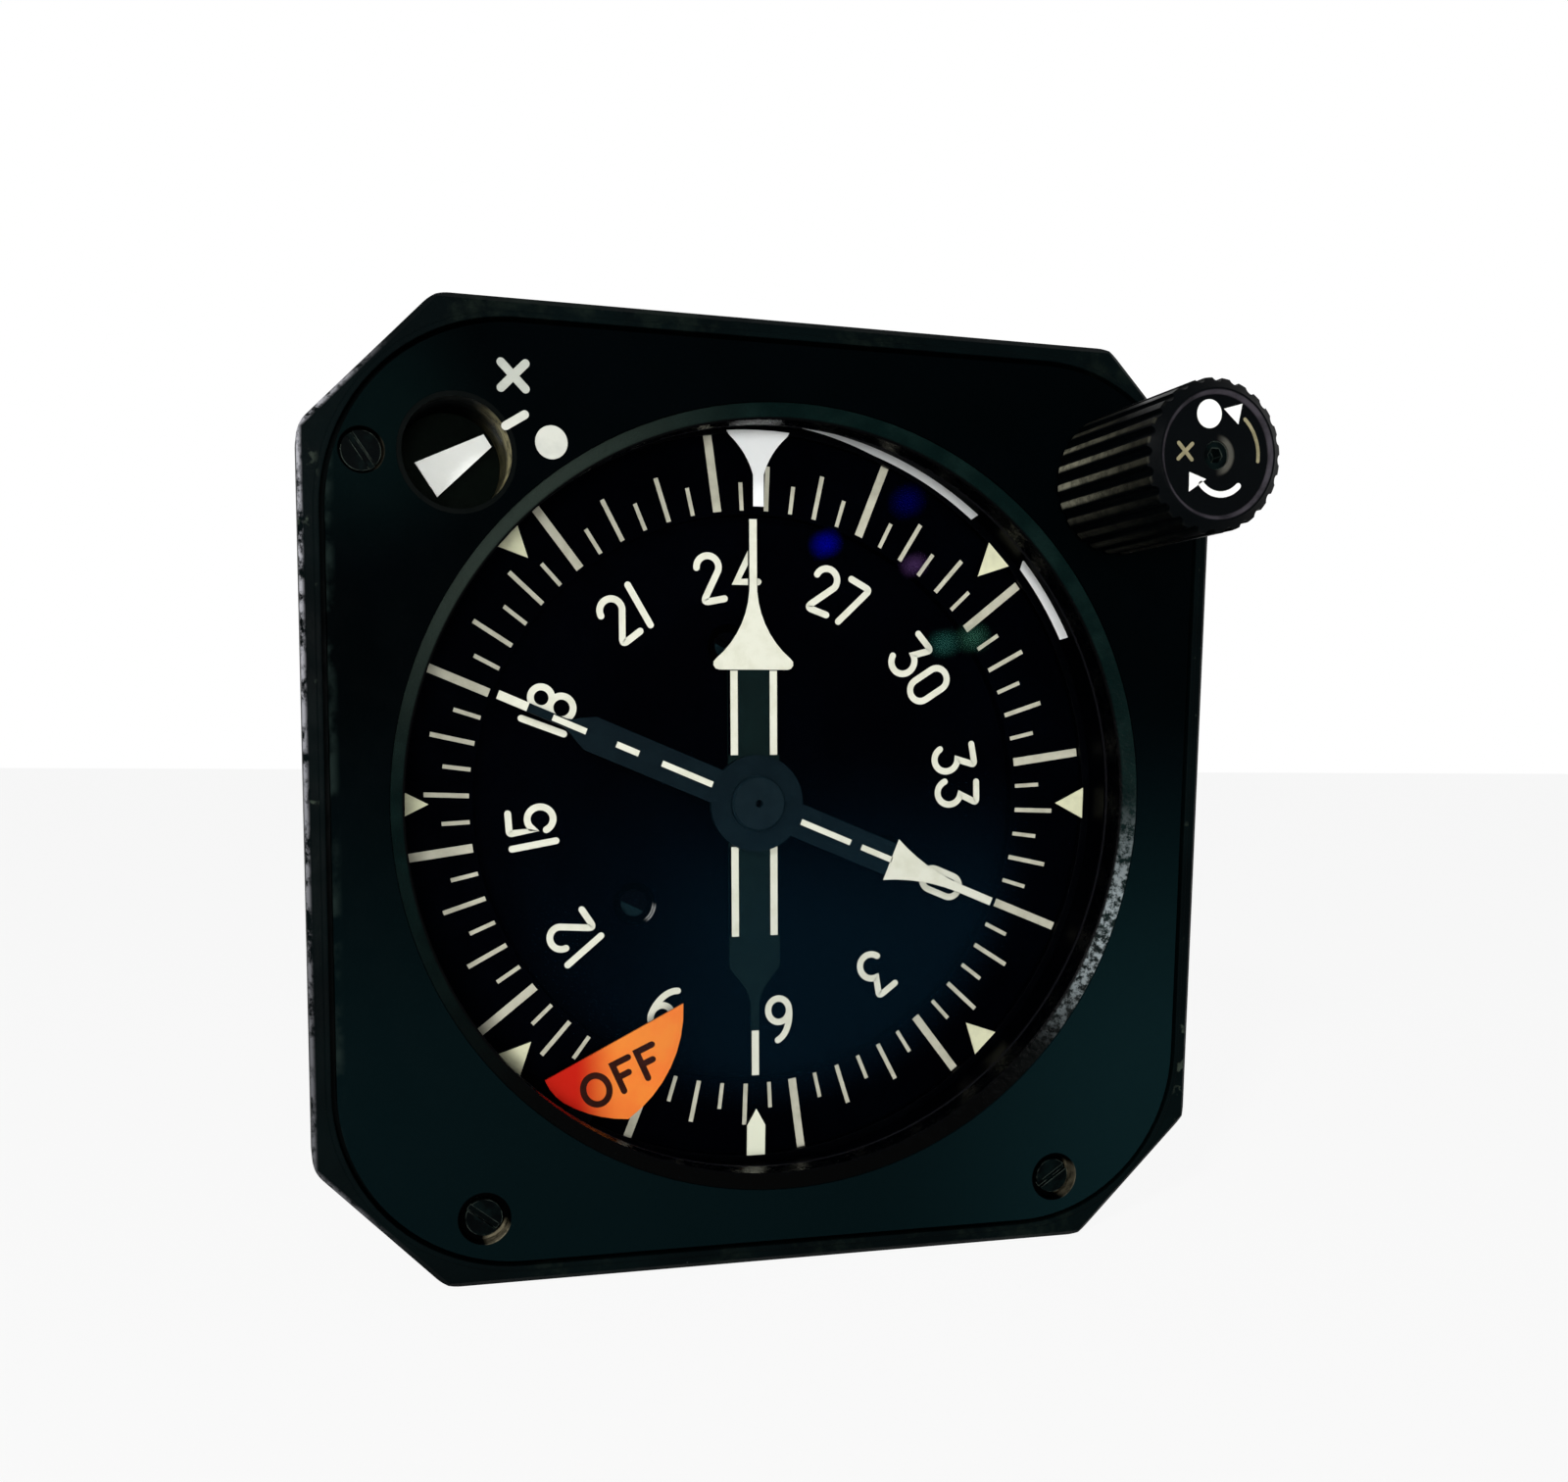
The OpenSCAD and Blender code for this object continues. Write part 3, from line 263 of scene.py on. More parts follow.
class Finish:
    """A surface finish: one Principled shader and the patterns that feed it, all on Object coordinates."""

    def __init__(self, name, colour, roughness, metallic=0.0, specular=0.5):
        self.material = bpy.data.materials.new(name)
        self.material.use_nodes = True
        self.tree = self.material.node_tree
        self.tree.nodes.clear()
        self.output = self.tree.nodes.new("ShaderNodeOutputMaterial")
        self.shader = self.tree.nodes.new("ShaderNodeBsdfPrincipled")
        self.tree.links.new(self.shader.outputs[0], self.output.inputs["Surface"])
        self.shader.inputs["Base Color"].default_value = (*colour, 1.0)
        self.shader.inputs["Roughness"].default_value = roughness
        self.shader.inputs["Metallic"].default_value = metallic
        self.shader.inputs["Specular IOR Level"].default_value = specular
        self.spot = self.tree.nodes.new("ShaderNodeTexCoord").outputs["Object"]

    def feed(self, socket, value):
        if isinstance(value, (int, float)):
            socket.default_value = value
        elif isinstance(value, tuple):
            socket.default_value = (*value, 1.0) if len(value) == 3 and socket.type == "RGBA" else value
        else:
            self.tree.links.new(value, socket)

    def stretched(self, scale):
        """The surface's coordinates, scaled, for brushed or streaked patterns."""
        node = self.tree.nodes.new("ShaderNodeMapping")
        node.vector_type = "POINT"
        node.inputs["Scale"].default_value = scale
        self.tree.links.new(self.spot, node.inputs["Vector"])
        return node.outputs["Vector"]

    def noise(self, scale, detail=3.0, vector=None, rough=0.55):
        node = self.tree.nodes.new("ShaderNodeTexNoise")
        node.inputs["Scale"].default_value = scale
        node.inputs["Detail"].default_value = detail
        node.inputs["Roughness"].default_value = rough
        self.tree.links.new(vector or self.spot, node.inputs["Vector"])
        return node.outputs["Fac"]

    def span(self, value, low, high, out_low=0.0, out_high=1.0):
        """value from low to high, brought smoothly to out_low to out_high."""
        node = self.tree.nodes.new("ShaderNodeMapRange")
        node.interpolation_type = "SMOOTHSTEP"
        self.feed(node.inputs["Value"], value)
        node.inputs["From Min"].default_value = low
        node.inputs["From Max"].default_value = high
        node.inputs["To Min"].default_value = out_low
        node.inputs["To Max"].default_value = out_high
        return node.outputs["Result"]

    def along(self, axis):
        """One of the part's own coordinates, X, Y or Z, in metres."""
        split = self.tree.nodes.new("ShaderNodeSeparateXYZ")
        self.tree.links.new(self.spot, split.inputs[0])
        return split.outputs[axis]

    def apart(self, x, z):
        """Distance from a line through the part from front to back, in metres; x and z in millimetres."""
        across = self.sum("SUBTRACT", self.along("X"), x * MM)
        up = self.sum("SUBTRACT", self.along("Z"), z * MM)
        squares = self.sum("ADD", self.product(across, across), self.product(up, up))
        return self.sum("SQRT", squares, 0.0)

    def clock(self, x=0.0, z=0.0):
        """Direction from the same line in radians, clockwise from the top as seen from the front."""
        across = self.sum("SUBTRACT", self.along("X"), x * MM)
        up = self.sum("SUBTRACT", self.along("Z"), z * MM)
        return self.sum("ARCTAN2", across, up)

    def sector(self, clock, start, end, soft):
        """1 between two clock directions in degrees, with soft ends."""
        rise = self.span(clock, math.radians(start - soft), math.radians(start + soft))
        fall = self.span(clock, math.radians(end + soft), math.radians(end - soft))
        return self.product(rise, fall)

    def outside(self):
        """How far a point lies outside the flange's outline, in metres; less than 0 within it."""
        across = self.sum("ABSOLUTE", self.along("X"), 0.0)
        up = self.sum("ABSOLUTE", self.along("Z"), 0.0)
        side = self.sum("SUBTRACT", self.sum("MAXIMUM", across, up), FLANGE_HALF * MM)
        corner = self.sum("MULTIPLY", self.sum("ADD", across, up), math.sqrt(0.5))
        corner = self.sum("SUBTRACT", corner, (2 * FLANGE_HALF - FLANGE_CUT) * math.sqrt(0.5) * MM)
        return self.sum("MAXIMUM", side, corner)

    def product(self, *factors):
        whole = factors[0]
        for factor in factors[1:]:
            whole = self.sum("MULTIPLY", whole, factor)
        return whole

    def sum(self, kind, a, b):
        node = self.tree.nodes.new("ShaderNodeMath")
        node.operation = kind
        self.feed(node.inputs[0], a)
        self.feed(node.inputs[1], b)
        return node.outputs[0]

    def mixed(self, share, a, b):
        node = self.tree.nodes.new("ShaderNodeMix")
        node.data_type = "RGBA"
        self.feed(node.inputs["Factor"], share)
        self.feed(node.inputs["A"], a)
        self.feed(node.inputs["B"], b)
        return node.outputs["Result"]

    def specks(self, scale, size, share):
        """Small round spots in a share of the cells of the given scale."""
        node = self.tree.nodes.new("ShaderNodeTexVoronoi")
        node.inputs["Scale"].default_value = scale
        self.tree.links.new(self.spot, node.inputs["Vector"])
        split = self.tree.nodes.new("ShaderNodeSeparateColor")
        self.tree.links.new(node.outputs["Color"], split.inputs[0])
        chosen = self.sum("LESS_THAN", split.outputs[0], share)
        return self.sum("MULTIPLY", self.span(node.outputs["Distance"], size, size * 0.6), chosen)

    def edges(self, radius):
        """1 on outside edges, 0 on flat faces."""
        bevel = self.tree.nodes.new("ShaderNodeBevel")
        bevel.samples = 6
        bevel.inputs["Radius"].default_value = radius
        geometry = self.tree.nodes.new("ShaderNodeNewGeometry")
        dot = self.tree.nodes.new("ShaderNodeVectorMath")
        dot.operation = "DOT_PRODUCT"
        self.tree.links.new(bevel.outputs["Normal"], dot.inputs[0])
        self.tree.links.new(geometry.outputs["Normal"], dot.inputs[1])
        return self.span(dot.outputs["Value"], 0.995, 0.86)

    def colour(self, value):
        self.feed(self.shader.inputs["Base Color"], value)

    def roughness(self, value):
        self.feed(self.shader.inputs["Roughness"], value)

    def bump(self, height, depth, strength=0.6, rounded=0.0):
        """Grain from height; edges look rounded by the given radius in metres."""
        node = self.tree.nodes.new("ShaderNodeBump")
        if rounded:
            bevel = self.tree.nodes.new("ShaderNodeBevel")
            bevel.samples = 4
            bevel.inputs["Radius"].default_value = rounded
            self.tree.links.new(bevel.outputs["Normal"], node.inputs["Normal"])
        node.inputs["Strength"].default_value = strength
        node.inputs["Distance"].default_value = depth
        self.tree.links.new(height, node.inputs["Height"])
        self.tree.links.new(node.outputs["Normal"], self.shader.inputs["Normal"])


def enamel(name, colour, light, roughness, specular=0.3, grain=2600, depth=0.03, wear=0.0,
           worn=(0.2, 0.2, 0.17), dust=0.02):
    """Sprayed paint with a fine grain, cloudy tone, a few pale specks and, where asked, rubbed edges."""
    paint = Finish(name, colour, roughness, 0.0, specular)
    paint.colour(coat(paint, colour, light, roughness, wear, worn, dust))
    paint.bump(paint.noise(grain, 2), depth * MM, rounded=0.12 * MM)
    return paint.material


def coat(paint, colour, light, roughness, wear=0.0, worn=(0.2, 0.2, 0.17), dust=0.02):
    """The cloudy colour of sprayed paint, and its roughness."""
    cloud = paint.span(paint.noise(90, 4), 0.35, 0.7)
    base = paint.mixed(cloud, colour, light)
    pale = tuple(min(1.0, c * 3 + dust) for c in light)
    base = paint.mixed(paint.sum("MULTIPLY", paint.specks(330, 0.03, 0.05), 0.5), base, pale)
    if wear:
        patchy = paint.span(paint.noise(420, 5), 0.66 - 0.25 * wear, 0.72)
        rubbed = paint.product(paint.edges(0.22 * MM), patchy)
        base = paint.mixed(rubbed, base, worn)
    paint.roughness(paint.span(paint.noise(400, 3), 0.3, 0.7, roughness - 0.07, roughness + 0.08))
    return base


def flange_paint(colour):
    """Casting enamel, worn to bare metal along the left front edge with that edge's highlight painted in, more so
    high up, and scuffed above and below.
    """
    paint = Finish("casting_enamel", colour, 0.45, 0.0, 0.015)
    base = coat(paint, colour, (0.0008, 0.003, 0.0033), 0.45)
    reach = paint.outside()
    up, across = paint.along("Z"), paint.along("X")
    front = paint.span(paint.along("Y"), -2.9 * MM, -3.7 * MM)
    rim = paint.span(reach, -0.5 * MM, -0.1 * MM)
    left = paint.span(across, -33.0 * MM, -40.6 * MM)
    high = paint.span(up, -22.0 * MM, 24.0 * MM, 0.3, 1.0)
    grit = paint.span(paint.noise(520, 5, rough=0.7), 0.4, 0.56)
    # painted highlight: the left front edge lightened in patches, stronger high up, partly worn paint and partly
    # painted light
    base = paint.mixed(paint.product(rim, front, left, high, grit), base, (0.42, 0.42, 0.46))
    ends = paint.span(paint.sum("ABSOLUTE", up, 0.0), 37.2 * MM, 39.6 * MM)
    scuff = paint.product(ends, paint.span(paint.noise(75, 6, rough=0.75), 0.52, 0.72), 0.8)
    base = paint.mixed(scuff, base, (0.009, 0.0145, 0.011))
    flank = paint.span(paint.sum("ABSOLUTE", across, 0.0), 39.4 * MM, 40.4 * MM)
    spots = paint.product(flank, front, paint.span(paint.noise(620, 3), 0.64, 0.72), 0.3)
    base = paint.mixed(spots, base, (0.1, 0.13, 0.1))
    paint.colour(base)
    paint.bump(paint.noise(1900, 3), 0.03 * MM, rounded=0.2 * MM)
    return paint.material


def plate_paint(colour):
    """Face plate enamel, painted a little lighter low down towards the right and near the upper left corner as
    painted glare, lightened in patches along its left edge partly by wear and partly as a painted highlight, with
    each screw recess painted black as painted shade and a painted lit crescent on its wall.
    """
    paint = Finish("plate_enamel", colour, 0.55, 0.0, 0.004)
    # painted glare: lighter low down, more towards the right, and near the upper left corner
    low = paint.span(paint.along("Z"), 12.0 * MM, -26.0 * MM)
    right = paint.span(paint.along("X"), 6.0 * MM, 38.0 * MM, 0.4, 1.0)
    dark = coat(paint, colour, (0.0002, 0.0008, 0.0012), 0.55, dust=0.004)
    base = paint.mixed(paint.product(low, right), dark, (0.003, 0.0115, 0.0135))
    corner = paint.span(paint.apart(-37.0, 31.0), 13.0 * MM, 3.0 * MM, 0.0, 0.3)
    base = paint.mixed(corner, base, (0.003, 0.0105, 0.0105))
    # left edge lightened in patches: partly worn paint, partly painted highlight
    side = paint.span(paint.along("X"), -38.3 * MM, -39.1 * MM)
    rubbed = paint.product(side, paint.span(paint.noise(300, 4), 0.42, 0.62), 0.7)
    base = paint.mixed(rubbed, base, (0.013, 0.022, 0.02))
    # each screw recess: painted black inside as painted shade, with a painted lit crescent on its wall
    for x, z, radius, start, end, glint in PLATE_SCREWS:
        out = paint.apart(x, z)
        base = paint.mixed(paint.span(out, (radius + 0.1) * MM, radius * MM), base, (0.0001, 0.0002, 0.0003))
        wall = paint.product(paint.span(out, (radius - 0.3) * MM, (radius - 0.2) * MM),
                             paint.span(out, (radius + 0.12) * MM, (radius + 0.02) * MM))
        patchy = paint.span(paint.noise(1300, 3), 0.3, 0.6, 0.35 * glint, glint)
        lit = paint.product(wall, patchy, paint.sector(paint.clock(x, z), start, end, 12))
        base = paint.mixed(lit, base, (0.17, 0.15, 0.1))
    paint.colour(base)
    paint.bump(paint.noise(2300, 2), 0.03 * MM, rounded=0.1 * MM)
    return paint.material


def bezel_paint():
    """Glossy crinkled enamel of the bezel, grey on the upper half with a painted lighter patch at the upper left
    and a painted crinkled highlight at the lower right, and darkened to near black below by painted shade.
    """
    paint = Finish("bezel_enamel", (0.01, 0.02, 0.019), 0.24, 0.0, 0.02)
    # painted shade: the bezel darkens to near black towards the bottom
    painted_shade_below = paint.span(paint.along("Z"), -3.0 * MM, -27.0 * MM)
    cloud = paint.span(paint.noise(240, 4), 0.4, 0.66)
    grey = paint.mixed(cloud, (0.0008, 0.0058, 0.0054), (0.003, 0.011, 0.0098))
    clock = paint.clock()
    # painted light: a lighter grey patch on the upper left of the bezel
    grey = paint.mixed(paint.product(paint.sector(clock, -72, -22, 20), 0.8), grey, (0.032, 0.044, 0.036))
    grey = paint.mixed(painted_shade_below, grey, (0.0001, 0.0002, 0.0002))
    # painted highlight: crinkled bright streaks on the bezel at the lower right
    crinkle_highlight = paint.span(paint.noise(1500, 3, rough=0.7), 0.4, 0.62, 0.0, 1.0)
    grey = paint.mixed(paint.product(paint.sector(clock, 98, 122, 11), crinkle_highlight), grey, (0.26, 0.3, 0.31))
    mouth = paint.span(paint.apart(0.0, 0.0), 33.5 * MM, 33.3 * MM)
    paint.colour(paint.mixed(mouth, grey, (0.0001, 0.0002, 0.0004)))
    paint.roughness(paint.span(paint.noise(800, 3), 0.3, 0.7, 0.16, 0.34))
    paint.bump(paint.noise(950, 4, rough=0.7), 0.12 * MM, 0.8)
    return paint.material


def blackened(name, wear):
    """Blackened screws, with the black worn thin along edges and slots."""
    bare = Finish(name, (0.0008, 0.003, 0.003), 0.4, 0.0, 0.012)
    tone = bare.span(bare.noise(700, 4), 0.4, 0.7, 0.0, 0.2 + wear * 0.8)
    dark = bare.mixed(tone, (0.0002, 0.0008, 0.001), (0.0018, 0.005, 0.005))
    rubbed = bare.product(bare.edges(0.16 * MM), bare.span(bare.noise(900, 4), 0.4, 0.6), wear)
    bare.colour(bare.mixed(rubbed, dark, (0.06, 0.078, 0.066)))
    bare.roughness(bare.span(bare.noise(1300, 3), 0.3, 0.7, 0.3, 0.5))
    bare.bump(bare.noise(1800, 3), 0.02 * MM, rounded=0.08 * MM)
    return bare.material


def card_paint(colour):
    """Blue-black card enamel, with the screws' deep recesses painted black as painted shade and a painted lit
    crescent on the wall of each.
    """
    paint = Finish("card_enamel", colour, 0.62, 0.0, 0.003)
    base = coat(paint, colour, (0.0002, 0.0005, 0.0013), 0.62, dust=0.003)
    # each screw recess: painted black as painted shade, with a painted lit crescent on the lower right of its
    # wall
    for x, z in CARD_SCREWS:
        out = paint.apart(x, z)
        base = paint.mixed(paint.span(out, 2.06 * MM, 1.98 * MM), base, (0.00003, 0.00004, 0.0001))
        wall = paint.product(paint.span(out, 1.9 * MM, 1.97 * MM), paint.span(out, 2.12 * MM, 2.04 * MM))
        lit = paint.product(wall, paint.sector(paint.clock(x, z), 96, 140, 9))
        base = paint.mixed(lit, base, (0.3, 0.3, 0.29))
    paint.colour(base)
    paint.bump(paint.noise(3000, 2), 0.02 * MM, rounded=0.12 * MM)
    return paint.material


def card_screw_black():
    """Blackened heads of the card screws, with the half below the slot lightened to grey as painted light."""
    bare = Finish("card_screw_black", (0.0001, 0.0002, 0.0004), 0.45, 0.0, 0.006)
    cloud = bare.span(bare.noise(700, 4), 0.4, 0.7)
    shade = bare.mixed(cloud, (0.0001, 0.0002, 0.0004), (0.0004, 0.0006, 0.0016))
    slot = math.radians(CARD_SLOT)
    for x, z in CARD_SCREWS:
        across = bare.product(bare.sum("SUBTRACT", bare.along("X"), x * MM), math.cos(slot))
        up = bare.product(bare.sum("SUBTRACT", bare.along("Z"), z * MM), -math.sin(slot))
        # painted light: the half of each head below the slot is lightened to grey in patches
        below = bare.span(bare.sum("ADD", across, up), 0.2 * MM, 0.34 * MM)
        near = bare.span(bare.apart(x, z), 1.25 * MM, 1.1 * MM)
        patchy = bare.span(bare.noise(1100, 4), 0.3, 0.6, 0.4, 1.0)
        shade = bare.mixed(bare.product(near, below, patchy), shade, (0.0045, 0.013, 0.016))
    bare.colour(shade)
    bare.bump(bare.noise(1800, 3), 0.02 * MM, rounded=0.08 * MM)
    return bare.material


def metal(name, colour, dark, roughness, streak=(1.0, 1.0, 1.0), scale=900, depth=0.012):
    """Machined or plated metal with fine streaks and dull patches."""
    bare = Finish(name, colour, roughness, 1.0)
    lines = bare.noise(scale, 3, bare.stretched(streak))
    patches = bare.span(bare.noise(140, 4), 0.4, 0.7)
    bare.colour(bare.mixed(patches, colour, dark))
    bare.roughness(bare.span(lines, 0.25, 0.75, roughness - 0.1, roughness + 0.12))
    bare.bump(lines, depth * MM)
    return bare.material


def sleeve_metal():
    """Sleeve of the round window: black, but with a painted lit side in olive brown on the right of its bore,
    fading deeper in.
    """
    bare = Finish("sleeve_metal", (0.11, 0.1, 0.06), 0.5, 0.0, 0.02)
    rings = bare.noise(600, 3, bare.stretched((1.0, 9.0, 1.0)))
    tone = bare.mixed(bare.span(rings, 0.35, 0.7), (0.56, 0.5, 0.26), (0.3, 0.27, 0.14))
    grime = bare.span(bare.noise(1000, 4, rough=0.7), 0.48, 0.6, 0.0, 0.75)
    tone = bare.mixed(grime, tone, (0.05, 0.05, 0.03))
    # painted light: the right side of the bore is lit olive brown, fading deeper in
    bright = bare.sector(bare.clock(*WINDOW_AT), 48, 128, 30)
    inside = bare.span(bare.along("Y"), -4.2 * MM, -4.0 * MM)
    near = bare.span(bare.along("Y"), -0.8 * MM, -3.0 * MM, 0.12, 1.0)
    bare.colour(bare.mixed(bare.product(bright, inside, near), (0.0006, 0.0013, 0.0012), tone))
    bare.roughness(bare.span(rings, 0.3, 0.7, 0.4, 0.6))
    bare.bump(rings, 0.02 * MM)
    return bare.material


def knob_plastic(colour):
    """Black plastic, its rib crests lightened to olive grey towards the panel, mostly on the left side, partly by
    wear and partly as a painted highlight, with a painted highlight ring along the dish and painted light on the
    right of the centre hole.
    """
    paint = Finish("knob_plastic", colour, 0.36, 0.0, 0.02)
    x, z = KNOB_AT
    out = paint.apart(x, z)
    base = coat(paint, colour, (0.0009, 0.0016, 0.002), 0.36, dust=0.006)
    clock = paint.clock(x, z)
    rib_count = 24.0
    past_rib = paint.sum("SUBTRACT", clock, math.radians(9.5))
    ribs = paint.sum("COSINE", paint.sum("MULTIPLY", past_rib, rib_count), 0.0)
    crest = paint.product(paint.span(out, 5.98 * MM, 6.1 * MM), paint.span(ribs, -0.1, 0.85))
    low = paint.span(paint.along("Y"), -18.5 * MM, -5.8 * MM, 0.12, 1.0)
    # crests lightened mostly on the left side: partly wear, partly painted highlight
    side = paint.sum("ADD", paint.sector(clock, -114, -62, 17), 0.06)
    patchy = paint.span(paint.noise(900, 4, rough=0.7), 0.32, 0.62, 0.3, 1.0)
    base = paint.mixed(paint.product(crest, low, side, patchy), base, (0.3, 0.29, 0.21))
    # painted highlight: a patchy light ring along the dish
    ring = paint.product(paint.span(out, 4.75 * MM, 4.9 * MM), paint.span(out, 5.2 * MM, 5.05 * MM))
    ring = paint.product(ring, paint.span(paint.noise(500, 4), 0.3, 0.6, 0.3, 1.0))
    base = paint.mixed(ring, base, (0.05, 0.045, 0.055))
    # painted light: the right side of the centre hole
    hole = paint.product(paint.span(out, 1.75 * MM, 1.45 * MM), paint.sector(clock, 20, 160, 25))
    base = paint.mixed(paint.product(hole, 0.8), base, (0.09, 0.088, 0.075))
    paint.colour(base)
    paint.bump(paint.noise(3200, 2), 0.02 * MM, rounded=0.12 * MM)
    return paint.material


def lacquer(name, colour, shade, roughness=0.6, specular=0.12):
    """Thick matt paint of figures, marks and pointers, a little uneven and grubby."""
    paint = Finish(name, colour, roughness, 0.0, specular)
    tone = paint.span(paint.noise(700, 4), 0.38, 0.72)
    paint.colour(paint.mixed(tone, colour, shade))
    paint.roughness(paint.span(paint.noise(1500, 2), 0.3, 0.7, roughness - 0.06, roughness + 0.08))
    paint.bump(paint.noise(3500, 2), 0.02 * MM)
    return paint.material


def marks_lacquer():
    """The fixed marks' paint: lightened to near white on the top mark as painted light, off-white on the bottom
    one, yellowed on the triangles.
    """
    paint = Finish("index_lacquer", (0.6, 0.59, 0.42), 0.6, 0.0, 0.12)
    old = paint.mixed(paint.span(paint.noise(700, 4), 0.38, 0.72), (0.76, 0.75, 0.51), (0.66, 0.65, 0.44))
    narrow = paint.span(paint.sum("ABSOLUTE", paint.along("X"), 0.0), 8.0 * MM, 6.0 * MM)
    # painted light: the top mark is lightened to near white
    top = paint.product(narrow, paint.span(paint.along("Z"), 0.0, 5.0 * MM))
    bottom = paint.product(narrow, paint.span(paint.along("Z"), 0.0, -5.0 * MM))
    tone = paint.mixed(bottom, old, (0.8, 0.81, 0.64))
    paint.colour(paint.mixed(top, tone, (0.93, 0.93, 0.92)))
    paint.bump(paint.noise(3500, 2), 0.02 * MM)
    return paint.material


def flag_paint(colour):
    """Fluorescent orange, with painted shade making it deeper and redder towards the flag's pivot end."""
    paint = Finish("flag_orange", colour, 0.6, 0.0, 0.1)
    # painted shade: deeper and redder towards the pivot end
    shaded_end = paint.span(paint.along("X"), -13.2 * MM, -17.8 * MM)
    glow = paint.mixed(paint.span(paint.noise(300, 3), 0.35, 0.7), colour, (0.9, 0.2, 0.03))
    paint.colour(paint.mixed(shaded_end, glow, (0.56, 0.009, 0.001)))
    paint.bump(paint.noise(3000, 2), 0.02 * MM)
    return paint.material


def pane(name, tint, dust, with_reflections):
    """Coated glass: clear straight through, mirror-like at a slant, with a little dust and, where asked, a faint
    blue painted reflection low down and coloured painted reflections at fixed spots.
    """
    glass = Finish(name, tint, 0.05)
    tree = glass.tree
    clear = tree.nodes.new("ShaderNodeBsdfTransparent")
    clear.inputs["Color"].default_value = (*tint, 1.0)
    gloss = tree.nodes.new("ShaderNodeBsdfGlossy")
    gloss.inputs["Roughness"].default_value = 0.02
    cloud = glass.span(glass.noise(55, 2), 0.42, 0.66)
    glass.feed(gloss.inputs["Color"], glass.mixed(cloud, (0.3, 0.5, 1.0), (0.55, 0.45, 0.95)))
    slant = tree.nodes.new("ShaderNodeLayerWeight")
    slant.inputs["Blend"].default_value = 0.5
    steep = glass.sum("POWER", slant.outputs["Facing"], 5.0)
    mixed = tree.nodes.new("ShaderNodeMixShader")
    tree.links.new(glass.product(steep, 0.6), mixed.inputs[0])
    tree.links.new(clear.outputs[0], mixed.inputs[1])
    tree.links.new(gloss.outputs[0], mixed.inputs[2])
    grime = tree.nodes.new("ShaderNodeBsdfDiffuse")
    grime.inputs["Color"].default_value = (0.3, 0.33, 0.32, 1.0)
    dusty = tree.nodes.new("ShaderNodeMixShader")
    tree.links.new(glass.product(glass.specks(250, 0.022, dust), 0.4), dusty.inputs[0])
    tree.links.new(mixed.outputs[0], dusty.inputs[1])
    tree.links.new(grime.outputs[0], dusty.inputs[2])
    tree.nodes.remove(glass.shader)
    if with_reflections:
        # painted reflection: a faint blue sheen low down, more to the right
        low_reflection = tree.nodes.new("ShaderNodeBsdfDiffuse")
        low_reflection.inputs["Color"].default_value = (0.012, 0.07, 0.13, 1.0)
        low = glass.span(glass.along("Z"), 6.0 * MM, -14.0 * MM)
        low = glass.product(low, glass.span(glass.apart(0.0, -2.0), 27.0 * MM, 21.0 * MM))
        across = glass.span(glass.along("X"), -20.0 * MM, 2.0 * MM, 0.3, 1.0)
        veil = tree.nodes.new("ShaderNodeMixShader")
        tree.links.new(glass.product(low, across, 0.035), veil.inputs[0])
        tree.links.new(dusty.outputs[0], veil.inputs[1])
        tree.links.new(low_reflection.outputs[0], veil.inputs[2])
        dusty = veil
        # painted reflections: coloured blooms at fixed spots in the glass
        for x, z, reach, hue in PAINTED_REFLECTIONS:
            bloom = tree.nodes.new("ShaderNodeBsdfDiffuse")
            bloom.inputs["Color"].default_value = (*hue, 1.0)
            spot = tree.nodes.new("ShaderNodeMixShader")
            near = glass.span(glass.apart(x, z), reach * MM, 0.0)
            tree.links.new(glass.product(near, 0.25), spot.inputs[0])
            tree.links.new(dusty.outputs[0], spot.inputs[1])
            tree.links.new(bloom.outputs[0], spot.inputs[2])
            dusty = spot
    tree.links.new(dusty.outputs[0], glass.output.inputs["Surface"])
    return glass.material


